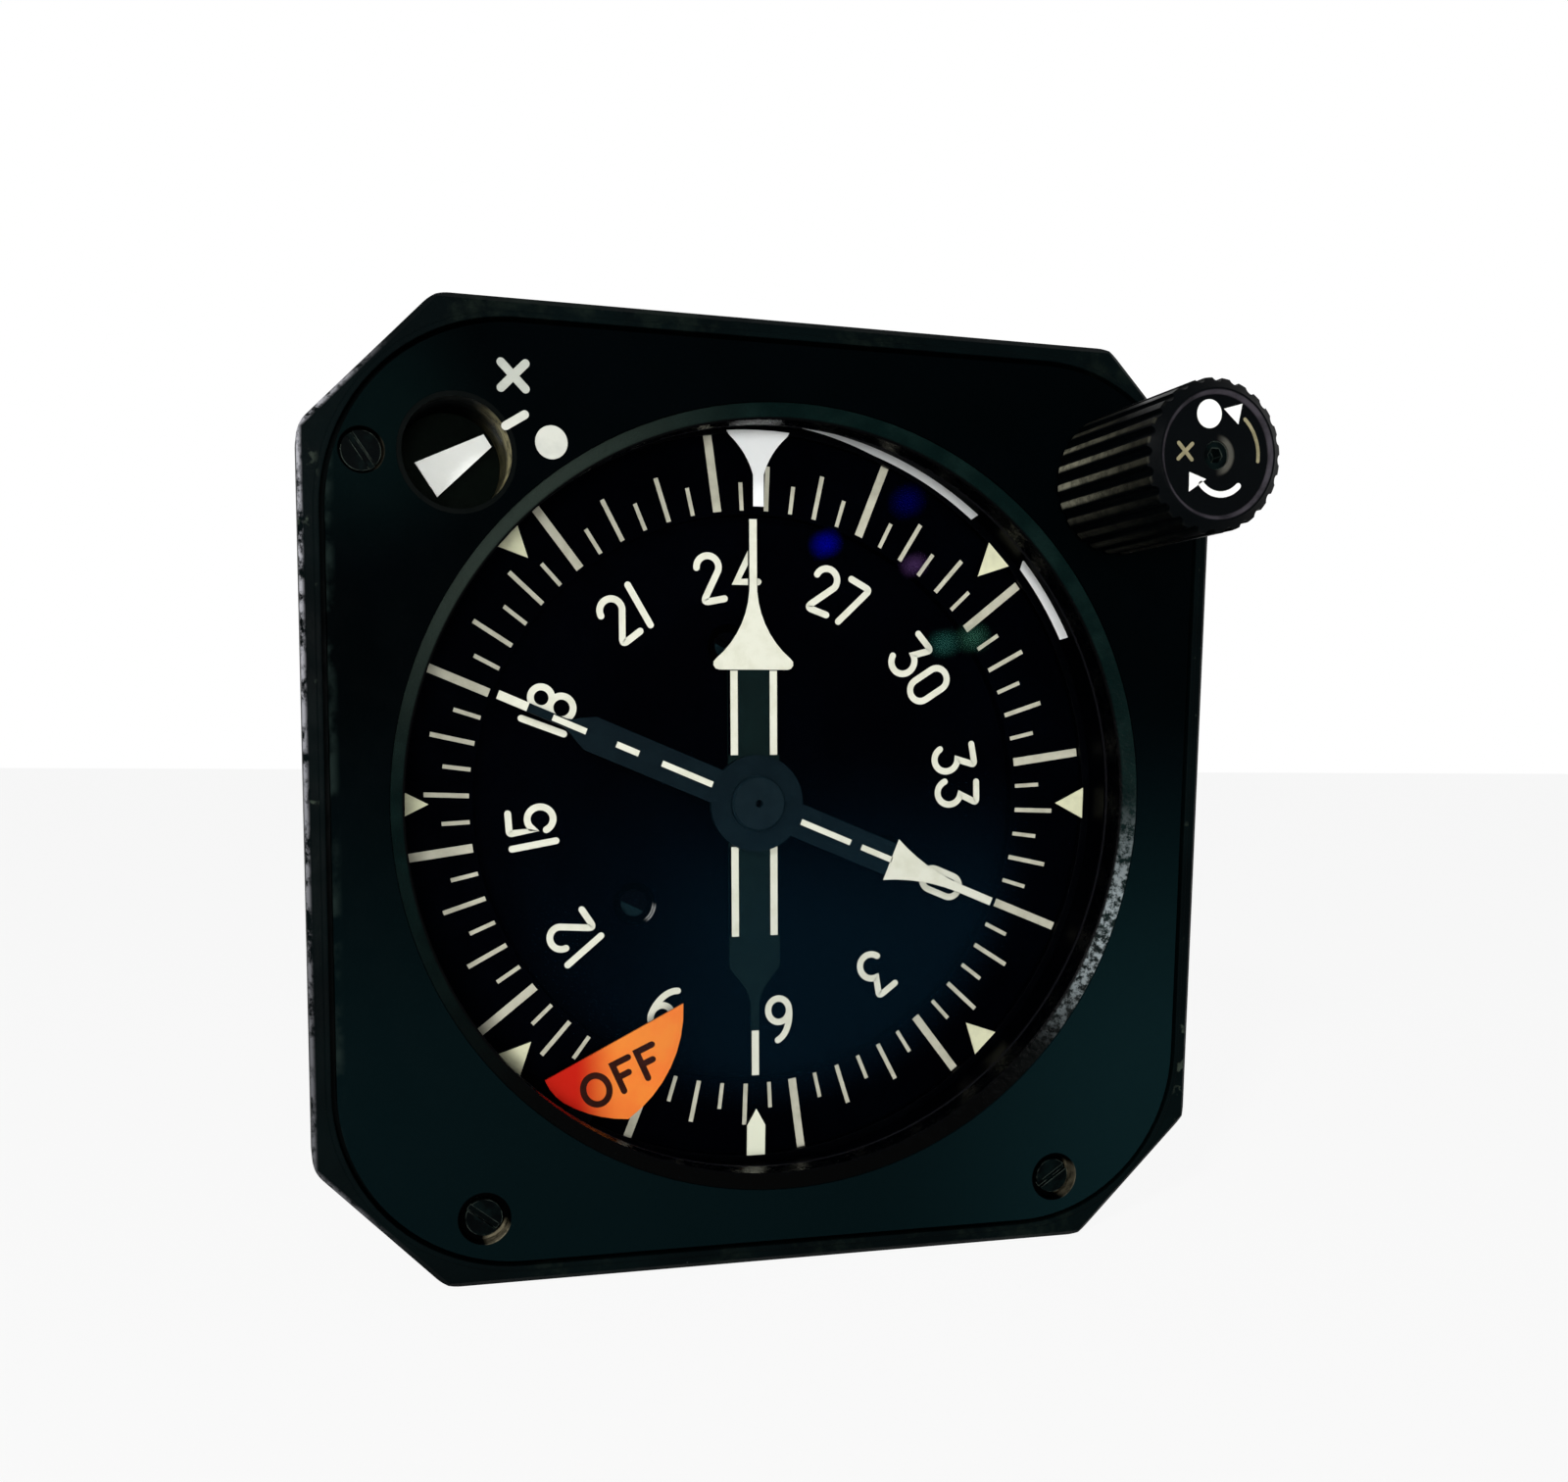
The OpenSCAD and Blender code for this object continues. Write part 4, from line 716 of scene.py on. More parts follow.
def finishes():
    """All finishes of the instrument, by their plain names, made once."""
    look = bpy.context.scene.compass_finishes
    return {
        "casting": lambda: flange_paint(tuple(look.casting)),
        "plate": lambda: plate_paint(tuple(look.plate)),
        "bezel": bezel_paint,
        "case": lambda: enamel(
            "case_enamel", (0.004, 0.007, 0.0075), (0.007, 0.011, 0.011), 0.45, 0.3, wear=0.6),
        "well": lambda: enamel(
            "well_enamel", (0.0001, 0.0002, 0.0006), (0.0003, 0.0005, 0.0011), 0.4, 0.02, 3200, 0.01, dust=0.004),
        "floor": lambda: enamel(
            "window_floor", (0.0005, 0.0012, 0.0008), (0.0014, 0.003, 0.002), 0.5, 0.01, dust=0.01),
        "card": lambda: card_paint(tuple(look.card)),
        "screw": lambda: blackened("blackened_screw", 0.85),
        "card_screw": card_screw_black,
        "steel": lambda: metal("ground_steel", (0.5, 0.5, 0.48), (0.3, 0.3, 0.29), 0.3),
        "brass": lambda: metal("cut_brass", (0.65, 0.46, 0.18), (0.4, 0.27, 0.1), 0.33),
        "bronze": lambda: metal("turned_bronze", (0.45, 0.28, 0.12), (0.25, 0.15, 0.07), 0.36),
        "sleeve": sleeve_metal,
        "aluminium": lambda: metal(
            "sheet_aluminium", (0.6, 0.6, 0.6), (0.4, 0.4, 0.41), 0.35, (1.0, 1.0, 14.0)),
        "plating": lambda: metal("dull_plating", (0.42, 0.42, 0.36), (0.22, 0.23, 0.19), 0.42),
        "gilt": lambda: metal("gilt_pins", (0.8, 0.58, 0.2), (0.6, 0.42, 0.14), 0.25),
        "rubber": lambda: enamel("gasket_rubber", (0.002, 0.002, 0.003), (0.003, 0.003, 0.004), 0.8, 0.1),
        "insert": lambda: enamel("moulded_insert", (0.012, 0.012, 0.012), (0.02, 0.02, 0.02), 0.5, 0.4),
        "knob": lambda: knob_plastic(tuple(look.knob)),
        "board": lambda: enamel("board_laminate", (0.03, 0.11, 0.05), (0.045, 0.14, 0.07), 0.4, 0.4),
        "can": lambda: enamel("can_enamel", (0.16, 0.17, 0.16), (0.2, 0.21, 0.2), 0.4, 0.4),
        "white": lambda: lacquer("white_lacquer", tuple(look.white), (0.72, 0.71, 0.57)),
        "bright": lambda: lacquer("bright_lacquer", (0.95, 0.95, 0.94), (0.92, 0.92, 0.9)),
        "dulled": lambda: lacquer("dulled_lacquer", (0.47, 0.49, 0.44), (0.41, 0.43, 0.39)),
        "plate_white": lambda: lacquer("plate_lacquer", (0.62, 0.63, 0.57), (0.56, 0.57, 0.52)),
        "aged": lambda: lacquer("aged_lacquer", (0.28, 0.25, 0.15), (0.18, 0.16, 0.09)),
        "tick": lambda: lacquer("tick_lacquer", (0.55, 0.53, 0.42), (0.46, 0.44, 0.34)),
        "marks": marks_lacquer,
        "pointer_grey": lambda: lacquer(
            "pointer_grey", tuple(look.pointer_grey), (0.0033, 0.0098, 0.0098), 0.5, 0.02),
        "narrow_grey": lambda: lacquer(
            "narrow_grey", (0.0026, 0.0072, 0.0102), (0.0036, 0.0094, 0.0128), 0.5, 0.02),
        "cap_grey": lambda: lacquer("cap_grey", (0.0036, 0.0095, 0.013), (0.005, 0.012, 0.016), 0.42, 0.03),
        "orange": lambda: flag_paint(tuple(look.flag)),
        "letter": lambda: lacquer("flag_letter", (0.02, 0.004, 0.002), (0.035, 0.007, 0.004), 0.6, 0.05),
        "glass": lambda: pane("cover_glass_coated", (0.99, 0.995, 1.0), 0.012, True),
        "small_glass": lambda: pane("window_glass", (0.985, 0.99, 0.985), 0.01, False),
    }


MADE = {}


def finish(name):
    """The material of the named finish, made the first time it is asked for."""
    if name not in MADE:
        MADE[name] = finishes()[name]()
    return MADE[name]


NODE_FINISHES = {
    "casting": ["front_casting"],
    "plate": ["face_plate"],
    "bezel": ["bezel_ring"],
    "case": ["case_shell", "rear_cover"],
    "well": ["well_ring", "index_ring", "flag_arm", "narrow_shaft"],
    "floor": ["annunciator_movement"],
    "card": ["compass_card"],
    "screw": ["face_plate_screws", "case_screws", "rear_cover_screws", "knob_screw"],
    "card_screw": ["card_screws"],
    "steel": ["card_shaft", "wide_shaft", "knob_shaft", "motor_pinion"],
    "brass": ["card_gear", "wide_gear", "knob_gear", "synchro_rotor", "sync_rotor", "flag_movement"],
    "bronze": ["card_bearing", "knob_bush"],
    "sleeve": ["annunciator_sleeve"],
    "aluminium": ["front_plate", "middle_plate", "rear_plate", "plate_posts"],
    "can": ["sync_transmitter", "card_motor", "wide_synchro", "narrow_synchro"],
    "board": ["amplifier_board"],
    "plating": ["connector_shells"],
    "insert": ["connector_inserts"],
    "gilt": ["connector_pins"],
    "rubber": ["glass_gasket"],
    "knob": ["sync_knob"],
    "marks": ["index_marks"],
    "bright": ["annunciator_needle"],
    "pointer_grey": ["wide_pointer"],
    "narrow_grey": ["narrow_pointer"],
    "cap_grey": ["pointer_cap"],
    "orange": ["off_flag"],
    "glass": ["cover_glass"],
    "small_glass": ["annunciator_glass"],
}


# Settings


class CompassFinishes(bpy.types.PropertyGroup):
    casting: bpy.props.FloatVectorProperty(
        name="Casting", description="Paint of the flange casting",
        size=3, subtype="COLOR", default=(0.0003, 0.0014, 0.0017))
    plate: bpy.props.FloatVectorProperty(
        name="Face Plate", description="Paint of the face plate",
        size=3, subtype="COLOR", default=(0.0001, 0.0006, 0.0008))
    card: bpy.props.FloatVectorProperty(
        name="Card", description="Blue-black paint of the compass card",
        size=3, subtype="COLOR", default=(0.0001, 0.0002, 0.0007))
    white: bpy.props.FloatVectorProperty(
        name="White", description="Off-white paint of figures and pointers",
        size=3, subtype="COLOR", default=(0.8, 0.79, 0.66))
    pointer_grey: bpy.props.FloatVectorProperty(
        name="Pointer Grey", description="Paint between the pointer's stripes",
        size=3, subtype="COLOR", default=(0.0027, 0.008, 0.008))
    flag: bpy.props.FloatVectorProperty(
        name="Flag", description="Fluorescent orange of the warning flag",
        size=3, subtype="COLOR", default=(0.9, 0.25, 0.035))
    knob: bpy.props.FloatVectorProperty(
        name="Knob", description="Plastic of the setting knob",
        size=3, subtype="COLOR", default=(0.0006, 0.001, 0.0014))


class CompassDial(bpy.types.PropertyGroup):
    top_heading: bpy.props.FloatProperty(
        name="Heading at the Top", description="Heading under the fixed mark", default=248.5, min=0, max=360)
    tick_start: bpy.props.FloatProperty(
        name="Tick Inner Radius", description="Where each tick starts",
        default=26.8 * MM, unit="LENGTH", precision=4)
    tick_5: bpy.props.FloatProperty(
        name="5 Degree Tick", description="Length of a short tick",
        default=2.5 * MM, unit="LENGTH", precision=4)
    tick_10: bpy.props.FloatProperty(
        name="10 Degree Tick", description="Length of a middle tick",
        default=4.0 * MM, unit="LENGTH", precision=4)
    tick_30: bpy.props.FloatProperty(
        name="30 Degree Tick", description="Length of a long tick",
        default=6.9 * MM, unit="LENGTH", precision=4)
    tick_width: bpy.props.FloatProperty(
        name="Tick Width", description="Width of a short tick", default=0.37 * MM, unit="LENGTH", precision=4)
    long_width: bpy.props.FloatProperty(
        name="Long Tick Width", description="Width of a long tick",
        default=0.78 * MM, unit="LENGTH", precision=4)
    figure_height: bpy.props.FloatProperty(
        name="Figure Height", description="Outer height of a figure",
        default=4.74 * MM, unit="LENGTH", precision=4)
    figure_stroke: bpy.props.FloatProperty(
        name="Figure Stroke", description="Width of the engraved line",
        default=0.62 * MM, unit="LENGTH", precision=4)
    figure_ring: bpy.props.FloatProperty(
        name="Figure Ring", description="Radius of the figures' middles",
        default=21.12 * MM, unit="LENGTH", precision=4)
    paint: bpy.props.FloatProperty(
        name="Paint", description="Thickness of painted marks", default=0.04 * MM, unit="LENGTH", precision=5)


class CompassConnectors(bpy.types.PropertyGroup):
    thread_turns: bpy.props.FloatProperty(
        name="Thread Turns", description="Turns of the coupling thread", default=6.0, min=1, max=12)
    thread_pitch: bpy.props.FloatProperty(
        name="Thread Pitch", description="Step of the coupling thread",
        default=1.1 * MM, unit="LENGTH", precision=4)
    screw_spacing: bpy.props.FloatProperty(
        name="Screw Spacing", description="Between the flange screws of a connector",
        default=20.0 * MM, unit="LENGTH", precision=4)


class CompassStage(bpy.types.PropertyGroup):
    floor: bpy.props.FloatVectorProperty(
        name="Floor", description="Colour of the floor", size=3, subtype="COLOR", default=(0.85, 0.85, 0.84))
    key: bpy.props.FloatProperty(
        name="Key Lamp", description="Power of the wide lamp on the left", default=0.62, unit="POWER")
    front: bpy.props.FloatProperty(
        name="Front Lamp", description="Power of the lamp beside the camera", default=1.58, unit="POWER")
    upper: bpy.props.FloatProperty(
        name="Upper Lamp", description="Power of the small upper left lamp", default=1.1, unit="POWER")
    right: bpy.props.FloatProperty(
        name="Right Lamp", description="Power of the right panel", default=0.15, unit="POWER")
    low: bpy.props.FloatProperty(
        name="Low Lamp", description="Power of the panel below the front", default=1.0, unit="POWER")
    world: bpy.props.FloatProperty(name="World", description="Strength of the even light", default=0.06)


# Operators


class PaintFrame(bpy.types.Operator):
    """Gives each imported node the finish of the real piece"""
    bl_idname = "compass.paint_frame"
    bl_label = "Paint the Frame"

    def execute(self, context):
        painted = set()
        for name, nodes in NODE_FINISHES.items():
            for node in nodes:
                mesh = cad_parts[node].data
                mesh.materials.clear()
                mesh.materials.append(finish(name))
                painted.add(node)
        left = sorted(set(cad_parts) - painted)
        if left:
            raise RuntimeError(f"no finish for {left}")
        return {"FINISHED"}


def ring_of_bars():
    """A node tree that sets bars round a ring on the dial's axis, leaving out every Skip-th one."""
    tree = bpy.data.node_groups.new("Ring of Bars", "GeometryNodeTree")
    face = tree.interface
    face.new_socket("Geometry", in_out="INPUT", socket_type="NodeSocketGeometry")
    for name, kind in [("Count", "Int"), ("Skip", "Int"), ("First Angle", "Float"),
                       ("Inner Radius", "Float"), ("Length", "Float"), ("Width", "Float"),
                       ("Thickness", "Float"), ("Depth", "Float"), ("Material", "Material")]:
        face.new_socket(name, in_out="INPUT", socket_type=f"NodeSocket{kind}")
    face.new_socket("Geometry", in_out="OUTPUT", socket_type="NodeSocketGeometry")
    new, link = tree.nodes.new, tree.links.new
    given = new("NodeGroupInput").outputs
    done = new("NodeGroupOutput")

    def math_node(kind, a, b):
        node = new("ShaderNodeMath")
        node.operation = kind
        for socket, value in zip(node.inputs, (a, b)):
            if isinstance(value, (int, float)):
                socket.default_value = value
            else:
                link(value, socket)
        return node.outputs[0]

    line = new("GeometryNodeMeshLine")
    line.mode = "OFFSET"
    line.inputs["Offset"].default_value = (0.0, 0.0, 0.0)
    link(given["Count"], line.inputs["Count"])
    index = math_node("ADD", new("GeometryNodeInputIndex").outputs[0], 1.0)
    step = math_node("DIVIDE", math.tau, given["Count"])
    angle = math_node("ADD", math_node("MULTIPLY", index, step), given["First Angle"])
    reach = math_node("ADD", given["Inner Radius"], math_node("MULTIPLY", given["Length"], 0.5))
    spot = new("ShaderNodeCombineXYZ")
    link(math_node("MULTIPLY", math_node("SINE", angle, 0.0), reach), spot.inputs["X"])
    link(given["Depth"], spot.inputs["Y"])
    link(math_node("MULTIPLY", math_node("COSINE", angle, 0.0), reach), spot.inputs["Z"])
    shift = new("GeometryNodeSetPosition")
    link(line.outputs["Mesh"], shift.inputs["Geometry"])
    link(spot.outputs[0], shift.inputs["Position"])
    size = new("ShaderNodeCombineXYZ")
    link(given["Width"], size.inputs["X"])
    link(given["Thickness"], size.inputs["Y"])
    link(given["Length"], size.inputs["Z"])
    bar = new("GeometryNodeMeshCube")
    link(size.outputs[0], bar.inputs["Size"])
    tilt = new("ShaderNodeCombineXYZ")
    link(angle, tilt.inputs["Y"])
    kept = math_node("GREATER_THAN", math_node("MODULO", index, given["Skip"]), 0.5)
    spread = new("GeometryNodeInstanceOnPoints")
    link(shift.outputs[0], spread.inputs["Points"])
    link(kept, spread.inputs["Selection"])
    link(bar.outputs["Mesh"], spread.inputs["Instance"])
    link(tilt.outputs[0], spread.inputs["Rotation"])
    real = new("GeometryNodeRealizeInstances")
    link(spread.outputs[0], real.inputs[0])
    paint = new("GeometryNodeSetMaterial")
    link(real.outputs[0], paint.inputs["Geometry"])
    link(given["Material"], paint.inputs["Material"])
    link(paint.outputs[0], done.inputs[0])
    return tree


def grown(name, tree, values, body):
    """A plain mesh piece from a node tree and the values of its named inputs."""
    seed = bpy.data.objects.new(name + "_seed", bpy.data.meshes.new(name + "_seed"))
    bpy.context.scene.collection.objects.link(seed)
    modifier = seed.modifiers.new("Grow", "NODES")
    modifier.node_group = tree
    for item in tree.interface.items_tree:
        if item.item_type == "SOCKET" and item.in_out == "INPUT" and item.name in values:
            modifier[item.identifier] = values[item.name]
    graph = bpy.context.evaluated_depsgraph_get()
    mesh = bpy.data.meshes.new_from_object(seed.evaluated_get(graph), depsgraph=graph)
    if not mesh.vertices:
        raise RuntimeError(f"{name} came out empty")
    bpy.data.objects.remove(seed)
    mesh.name = name
    piece = bpy.data.objects.new(name, mesh)
    bpy.context.scene.collection.objects.link(piece)
    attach(piece, body)


CARD_FACE = 9.63
CARD_SUNK = 10.83

# Where each digit was cut: mm clockwise of the heading it names, along the ring of figures
FIGURE_SPOTS = {
    "0": (0.17,), "3": (0.36,), "6": (0.07,), "9": (0.68,), "12": (-0.63, 1.6), "15": (-0.69, 1.57),
    "18": (-0.83, 1.43), "21": (0.22, 2.65), "24": (-1.2, 2.45), "27": (-0.97, 2.1), "30": (-1.15, 2.18),
    "33": (-1.15, 2.25)}


class DialTicks(bpy.types.Operator):
    """Sets the short, middle and long ticks round the card's outer scale"""
    bl_idname = "compass.dial_ticks"
    bl_label = "Dial Ticks"

    def execute(self, context):
        dial = context.scene.compass_dial
        tree = ring_of_bars()
        first = math.radians(-dial.top_heading)
        none_skipped = 13
        middle_width = dial.tick_width + 0.05 * MM
        for name, count, skip, length, width in [
                ("ticks_5", 72, 2, dial.tick_5, dial.tick_width),
                ("ticks_10", 36, 3, dial.tick_10, middle_width),
                ("ticks_30", 12, none_skipped, dial.tick_30, dial.long_width)]:
            grown(name, tree, {
                "Count": count, "Skip": skip, "First Angle": first,
                "Inner Radius": dial.tick_start, "Length": length, "Width": width, "Thickness": dial.paint,
                "Depth": (CARD_FACE - FLANGE_T) * MM - dial.paint / 2, "Material": finish("tick")},
                "card")
        return {"FINISHED"}


class DialFigures(bpy.types.Operator):
    """Engraves the figures 0, 3, 6 to 33 on the card's sunk disc, tops outward"""
    bl_idname = "compass.dial_figures"
    bl_label = "Dial Figures"

    def execute(self, context):
        dial = context.scene.compass_dial
        width = dial.figure_stroke / MM
        half_h = dial.figure_height / MM / 2 - width / 2
        half_w = 1.06
        ring = dial.figure_ring / MM
        for text, spots in FIGURE_SPOTS.items():
            mesh_data = bmesh.new()
            for c, along in zip(text, spots):
                heading = int(text) * 10 - dial.top_heading + math.degrees(along / ring)
                lines = figure_lines(c, half_w, half_h)
                lines = [(moved(points, (0.0, ring)), closed) for points, closed in lines]
                add_lines(mesh_data, lines, width, CARD_SUNK, dial.paint / MM, heading=heading)
            finish_piece(f"figure_{text}", mesh_data, finish("white"), "card")
        return {"FINISHED"}


class WidePointerPaint(bpy.types.Operator):
    """Paints the wide pointer's white stripes, head and needles"""
    bl_idname = "compass.wide_pointer_paint"
    bl_label = "Wide Pointer Paint"

    def execute(self, context):
        front, paint, heading = 10.05, 0.03, -0.9
        for name, near, far, colour in [("stripes", 1.57, 2.28, "white"), ("edges", 2.28, 2.5, "card")]:
            for end, low, high in [("head", 4.5, 12.3), ("tail", -12.6, -4.1)]:
                mesh_data = bmesh.new()
                for side in (-1, 1):
                    x0, x1 = sorted((side * near, side * far))
                    points = moved([(x0, low), (x1, low), (x1, high), (x0, high)], heading=heading)
                    add_plate(mesh_data, points, front - paint, front)
                finish_piece(f"wide_{name}_{end}", mesh_data, finish(colour), "wide_needle")
        shoulder = (3.65, 13.4)
        half = 0.36
        right = bow((3.35, 12.4), shoulder, 0.4, 4) + bow(shoulder, (half, 20.6), -0.95) + [(half, 26.1)]
        left = [(-x, z) for x, z in right[::-1]]
        mesh_data = bmesh.new()
        add_plate(mesh_data, moved(right + left, heading=heading), front - paint, front)
        finish_piece("wide_head", mesh_data, finish("white"), "wide_needle")
        mesh_data = bmesh.new()
        points = moved([(-half, -26.1), (half, -26.1), (half, -21.75), (-half, -21.75)], heading=heading)
        add_plate(mesh_data, points, front - paint, front)
        finish_piece("wide_tail", mesh_data, finish("white"), "wide_needle")
        return {"FINISHED"}


class NarrowPointerPaint(bpy.types.Operator):
    """Paints the narrow pointer's white dashes, head and needles"""
    bl_idname = "compass.narrow_pointer_paint"
    bl_label = "Narrow Pointer Paint"

    def execute(self, context):
        front, paint, heading = 9.05, 0.03, 111.8
        mesh_data = bmesh.new()
        half = 0.28
        for low, high in [(4.7, 10.1), (11.3, 14.7), (-9.9, -4.7), (-14.5, -12.25), (-20.8, -17.5)]:
            points = moved([(-half, low), (half, low), (half, high), (-half, high)], heading=heading)
            add_plate(mesh_data, points, front - paint, front)
        finish_piece("narrow_dashes", mesh_data, finish("white"), "narrow_needle")
        right = bow((2.1, 14.6), (0.4, 22.2), -0.4, 6) + [(0.4, 26.1)]
        left = [(-x, z) for x, z in right[::-1]]
        mesh_data = bmesh.new()
        add_plate(mesh_data, moved(right + left, heading=heading), front - paint, front)
        finish_piece("narrow_head", mesh_data, finish("white"), "narrow_needle")
        mesh_data = bmesh.new()
        points = moved([(-0.4, -26.1), (0.4, -26.1), (0.4, -23.2), (-0.4, -23.2)], heading=heading)
        add_plate(mesh_data, points, front - paint, front)
        finish_piece("narrow_tail", mesh_data, finish("white"), "narrow_needle")
        return {"FINISHED"}


class FlagLetters(bpy.types.Operator):
    """Paints OFF on the warning flag"""
    bl_idname = "compass.flag_letters"
    bl_label = "Flag Letters"

    def execute(self, context):
        tilt, width, front = -24.5, 0.6, 7.2
        letter_f = [([(-0.8, -1.35), (-0.8, 1.35), (0.8, 1.35)], False), ([(-0.8, 0.05), (0.3, 0.05)], False)]
        letter_o = [(arc(0, 0, 1.2, 1.38, 0, 360, 32)[:-1], True)]
        mesh_data = bmesh.new()
        for lines, spot in [(letter_o, (-15.76, -26.1)), (letter_f, (-12.98, -24.75)),
                            (letter_f, (-10.72, -23.65))]:
            add_lines(mesh_data, lines, width, front, 0.03, spot, tilt)
        finish_piece("flag_letters", mesh_data, finish("letter"), "flag")
        return {"FINISHED"}


class WellGlints(bpy.types.Operator):
    """Lays two pale arcs in the corner of the well's wall as painted highlights; what they are on the real part
    is a guess
    """
    bl_idname = "compass.well_glints"
    bl_label = "Well Glints"

    def execute(self, context):
        corner = 34.17
        mesh_data = bmesh.new()
        # two painted highlight arcs, each with its clock span, depth and taper
        for start, end, front, soft in [(5.5, 37.6, 7.1, 16.0), (47.8, 62.2, 6.3, 0.5)]:
            rows = []
            steps = int(end - start)
            for i in range(steps + 1):
                clock = start + (end - start) * i / steps
                size = min(1.0, 0.2 + (clock - start) / soft)
                profile = [(corner, front), (corner, front + size), (corner - 0.38 * size, front + size)]
                spots = [place(*turned((0.0, r), clock), depth) for r, depth in profile]
                rows.append([mesh_data.verts.new(spot) for spot in spots])
            for a, b in zip(rows, rows[1:]):
                for k in range(3):
                    mesh_data.faces.new((a[k], a[(k + 1) % 3], b[(k + 1) % 3], b[k]))
            mesh_data.faces.new(rows[0])
            mesh_data.faces.new(rows[-1][::-1])
        finish_piece("well_glints", mesh_data, finish("bright"), "case")
        return {"FINISHED"}


class AnnunciatorMarks(bpy.types.Operator):
    """Paints the index line, the cross and the dot beside the round window"""
    bl_idname = "compass.annunciator_marks"
    bl_label = "Annunciator Marks"

    def execute(self, context):
        front, paint = -0.3, 0.03
        mesh_data = bmesh.new()
        add_lines(mesh_data, [([(-24.75, 31.0), (-23.17, 31.98)], False)], 0.7, front, paint)
        add_plate(mesh_data, arc(-20.98, 29.92, 1.35, 1.35, 0, 360, 40)[:-1], front - paint, front)
        finish_piece("annunciator_index_and_dot", mesh_data, finish("plate_white"), "case")
        mesh_data = bmesh.new()
        add_lines(mesh_data, crossed(1.0), 0.7, front, paint, (-24.09, 35.0))
        finish_piece("annunciator_cross", mesh_data, finish("dulled"), "case")
        return {"FINISHED"}


def crossed(arm):
    """The two lines of a small cross."""
    return [([(-arm, -arm), (arm, arm)], False), ([(-arm, arm), (arm, -arm)], False)]


class KnobMarks(bpy.types.Operator):
    """Paints the dot, the cross and the two turned arrows on the knob's face"""
    bl_idname = "compass.knob_marks"
    bl_label = "Knob Marks"

    def execute(self, context):
        centre, front, paint = KNOB_AT, -16.4, 0.03
        mesh_data = bmesh.new()
        dot = moved(arc(0, 0, 1.14, 1.14, 0, 360, 36)[:-1], (centre[0] - 0.82, centre[1] + 3.22))
        add_plate(mesh_data, dot, front - paint, front)
        for tip in [[(0.5, 3.7), (2.2, 4.2), (1.9, 2.55)], [(-2.45, -1.46), (-0.87, -1.95), (-2.42, -3.02)]]:
            add_plate(mesh_data, moved(tip, centre), front - paint, front)
        sweep = moved(bow((-1.3, -2.35), (2.15, -2.35), 0.75, 12), centre)
        add_lines(mesh_data, [(sweep, False)], 0.5, front, paint)
        finish_piece("knob_dot_and_arrows", mesh_data, finish("bright"), "knob")
        mesh_data = bmesh.new()
        add_lines(mesh_data, crossed(0.62), 0.32, front, paint, (centre[0] - 2.9, centre[1] + 0.15))
        finish_piece("knob_cross", mesh_data, finish("aged"), "knob")
        mesh_data = bmesh.new()
        curve = moved(arc(0, 0, 3.9, 3.9, 50, -4, 16), centre)
        add_lines(mesh_data, [(curve, False)], 0.3, front, paint)
        finish_piece("knob_thin_arc", mesh_data, finish("aged"), "knob")
        return {"FINISHED"}


def thread_tree():
    """A node tree that winds one coupling thread round an axis along Y."""
    tree = bpy.data.node_groups.new("Coupling Thread", "GeometryNodeTree")
    face = tree.interface
    face.new_socket("Geometry", in_out="INPUT", socket_type="NodeSocketGeometry")
    for name, kind in [("Turns", "Float"), ("Radius", "Float"), ("Pitch", "Float"), ("Crest", "Float"),
                       ("Start", "Vector"), ("Material", "Material")]:
        face.new_socket(name, in_out="INPUT", socket_type=f"NodeSocket{kind}")
    face.new_socket("Geometry", in_out="OUTPUT", socket_type="NodeSocketGeometry")
    new, link = tree.nodes.new, tree.links.new
    given = new("NodeGroupInput").outputs
    done = new("NodeGroupOutput")
    spiral = new("GeometryNodeCurveSpiral")
    spiral.inputs["Resolution"].default_value = 40
    link(given["Turns"], spiral.inputs["Rotations"])
    link(given["Radius"], spiral.inputs["Start Radius"])
    link(given["Radius"], spiral.inputs["End Radius"])
    rise = new("ShaderNodeMath")
    rise.operation = "MULTIPLY"
    link(given["Turns"], rise.inputs[0])
    link(given["Pitch"], rise.inputs[1])
    link(rise.outputs[0], spiral.inputs["Height"])
    lay = new("GeometryNodeTransform")
    lay.inputs["Rotation"].default_value = (-math.pi / 2, 0.0, 0.0)
    link(spiral.outputs[0], lay.inputs["Geometry"])
    link(given["Start"], lay.inputs["Translation"])
    profile = new("GeometryNodeCurvePrimitiveCircle")
    profile.inputs["Resolution"].default_value = 6
    link(given["Crest"], profile.inputs["Radius"])
    tube = new("GeometryNodeCurveToMesh")
    tube.inputs["Fill Caps"].default_value = True
    link(lay.outputs[0], tube.inputs["Curve"])
    link(profile.outputs["Curve"], tube.inputs["Profile Curve"])
    real = new("GeometryNodeRealizeInstances")
    link(tube.outputs[0], real.inputs[0])
    paint = new("GeometryNodeSetMaterial")
    link(real.outputs[0], paint.inputs["Geometry"])
    link(given["Material"], paint.inputs["Material"])
    link(paint.outputs[0], done.inputs[0])
    return tree


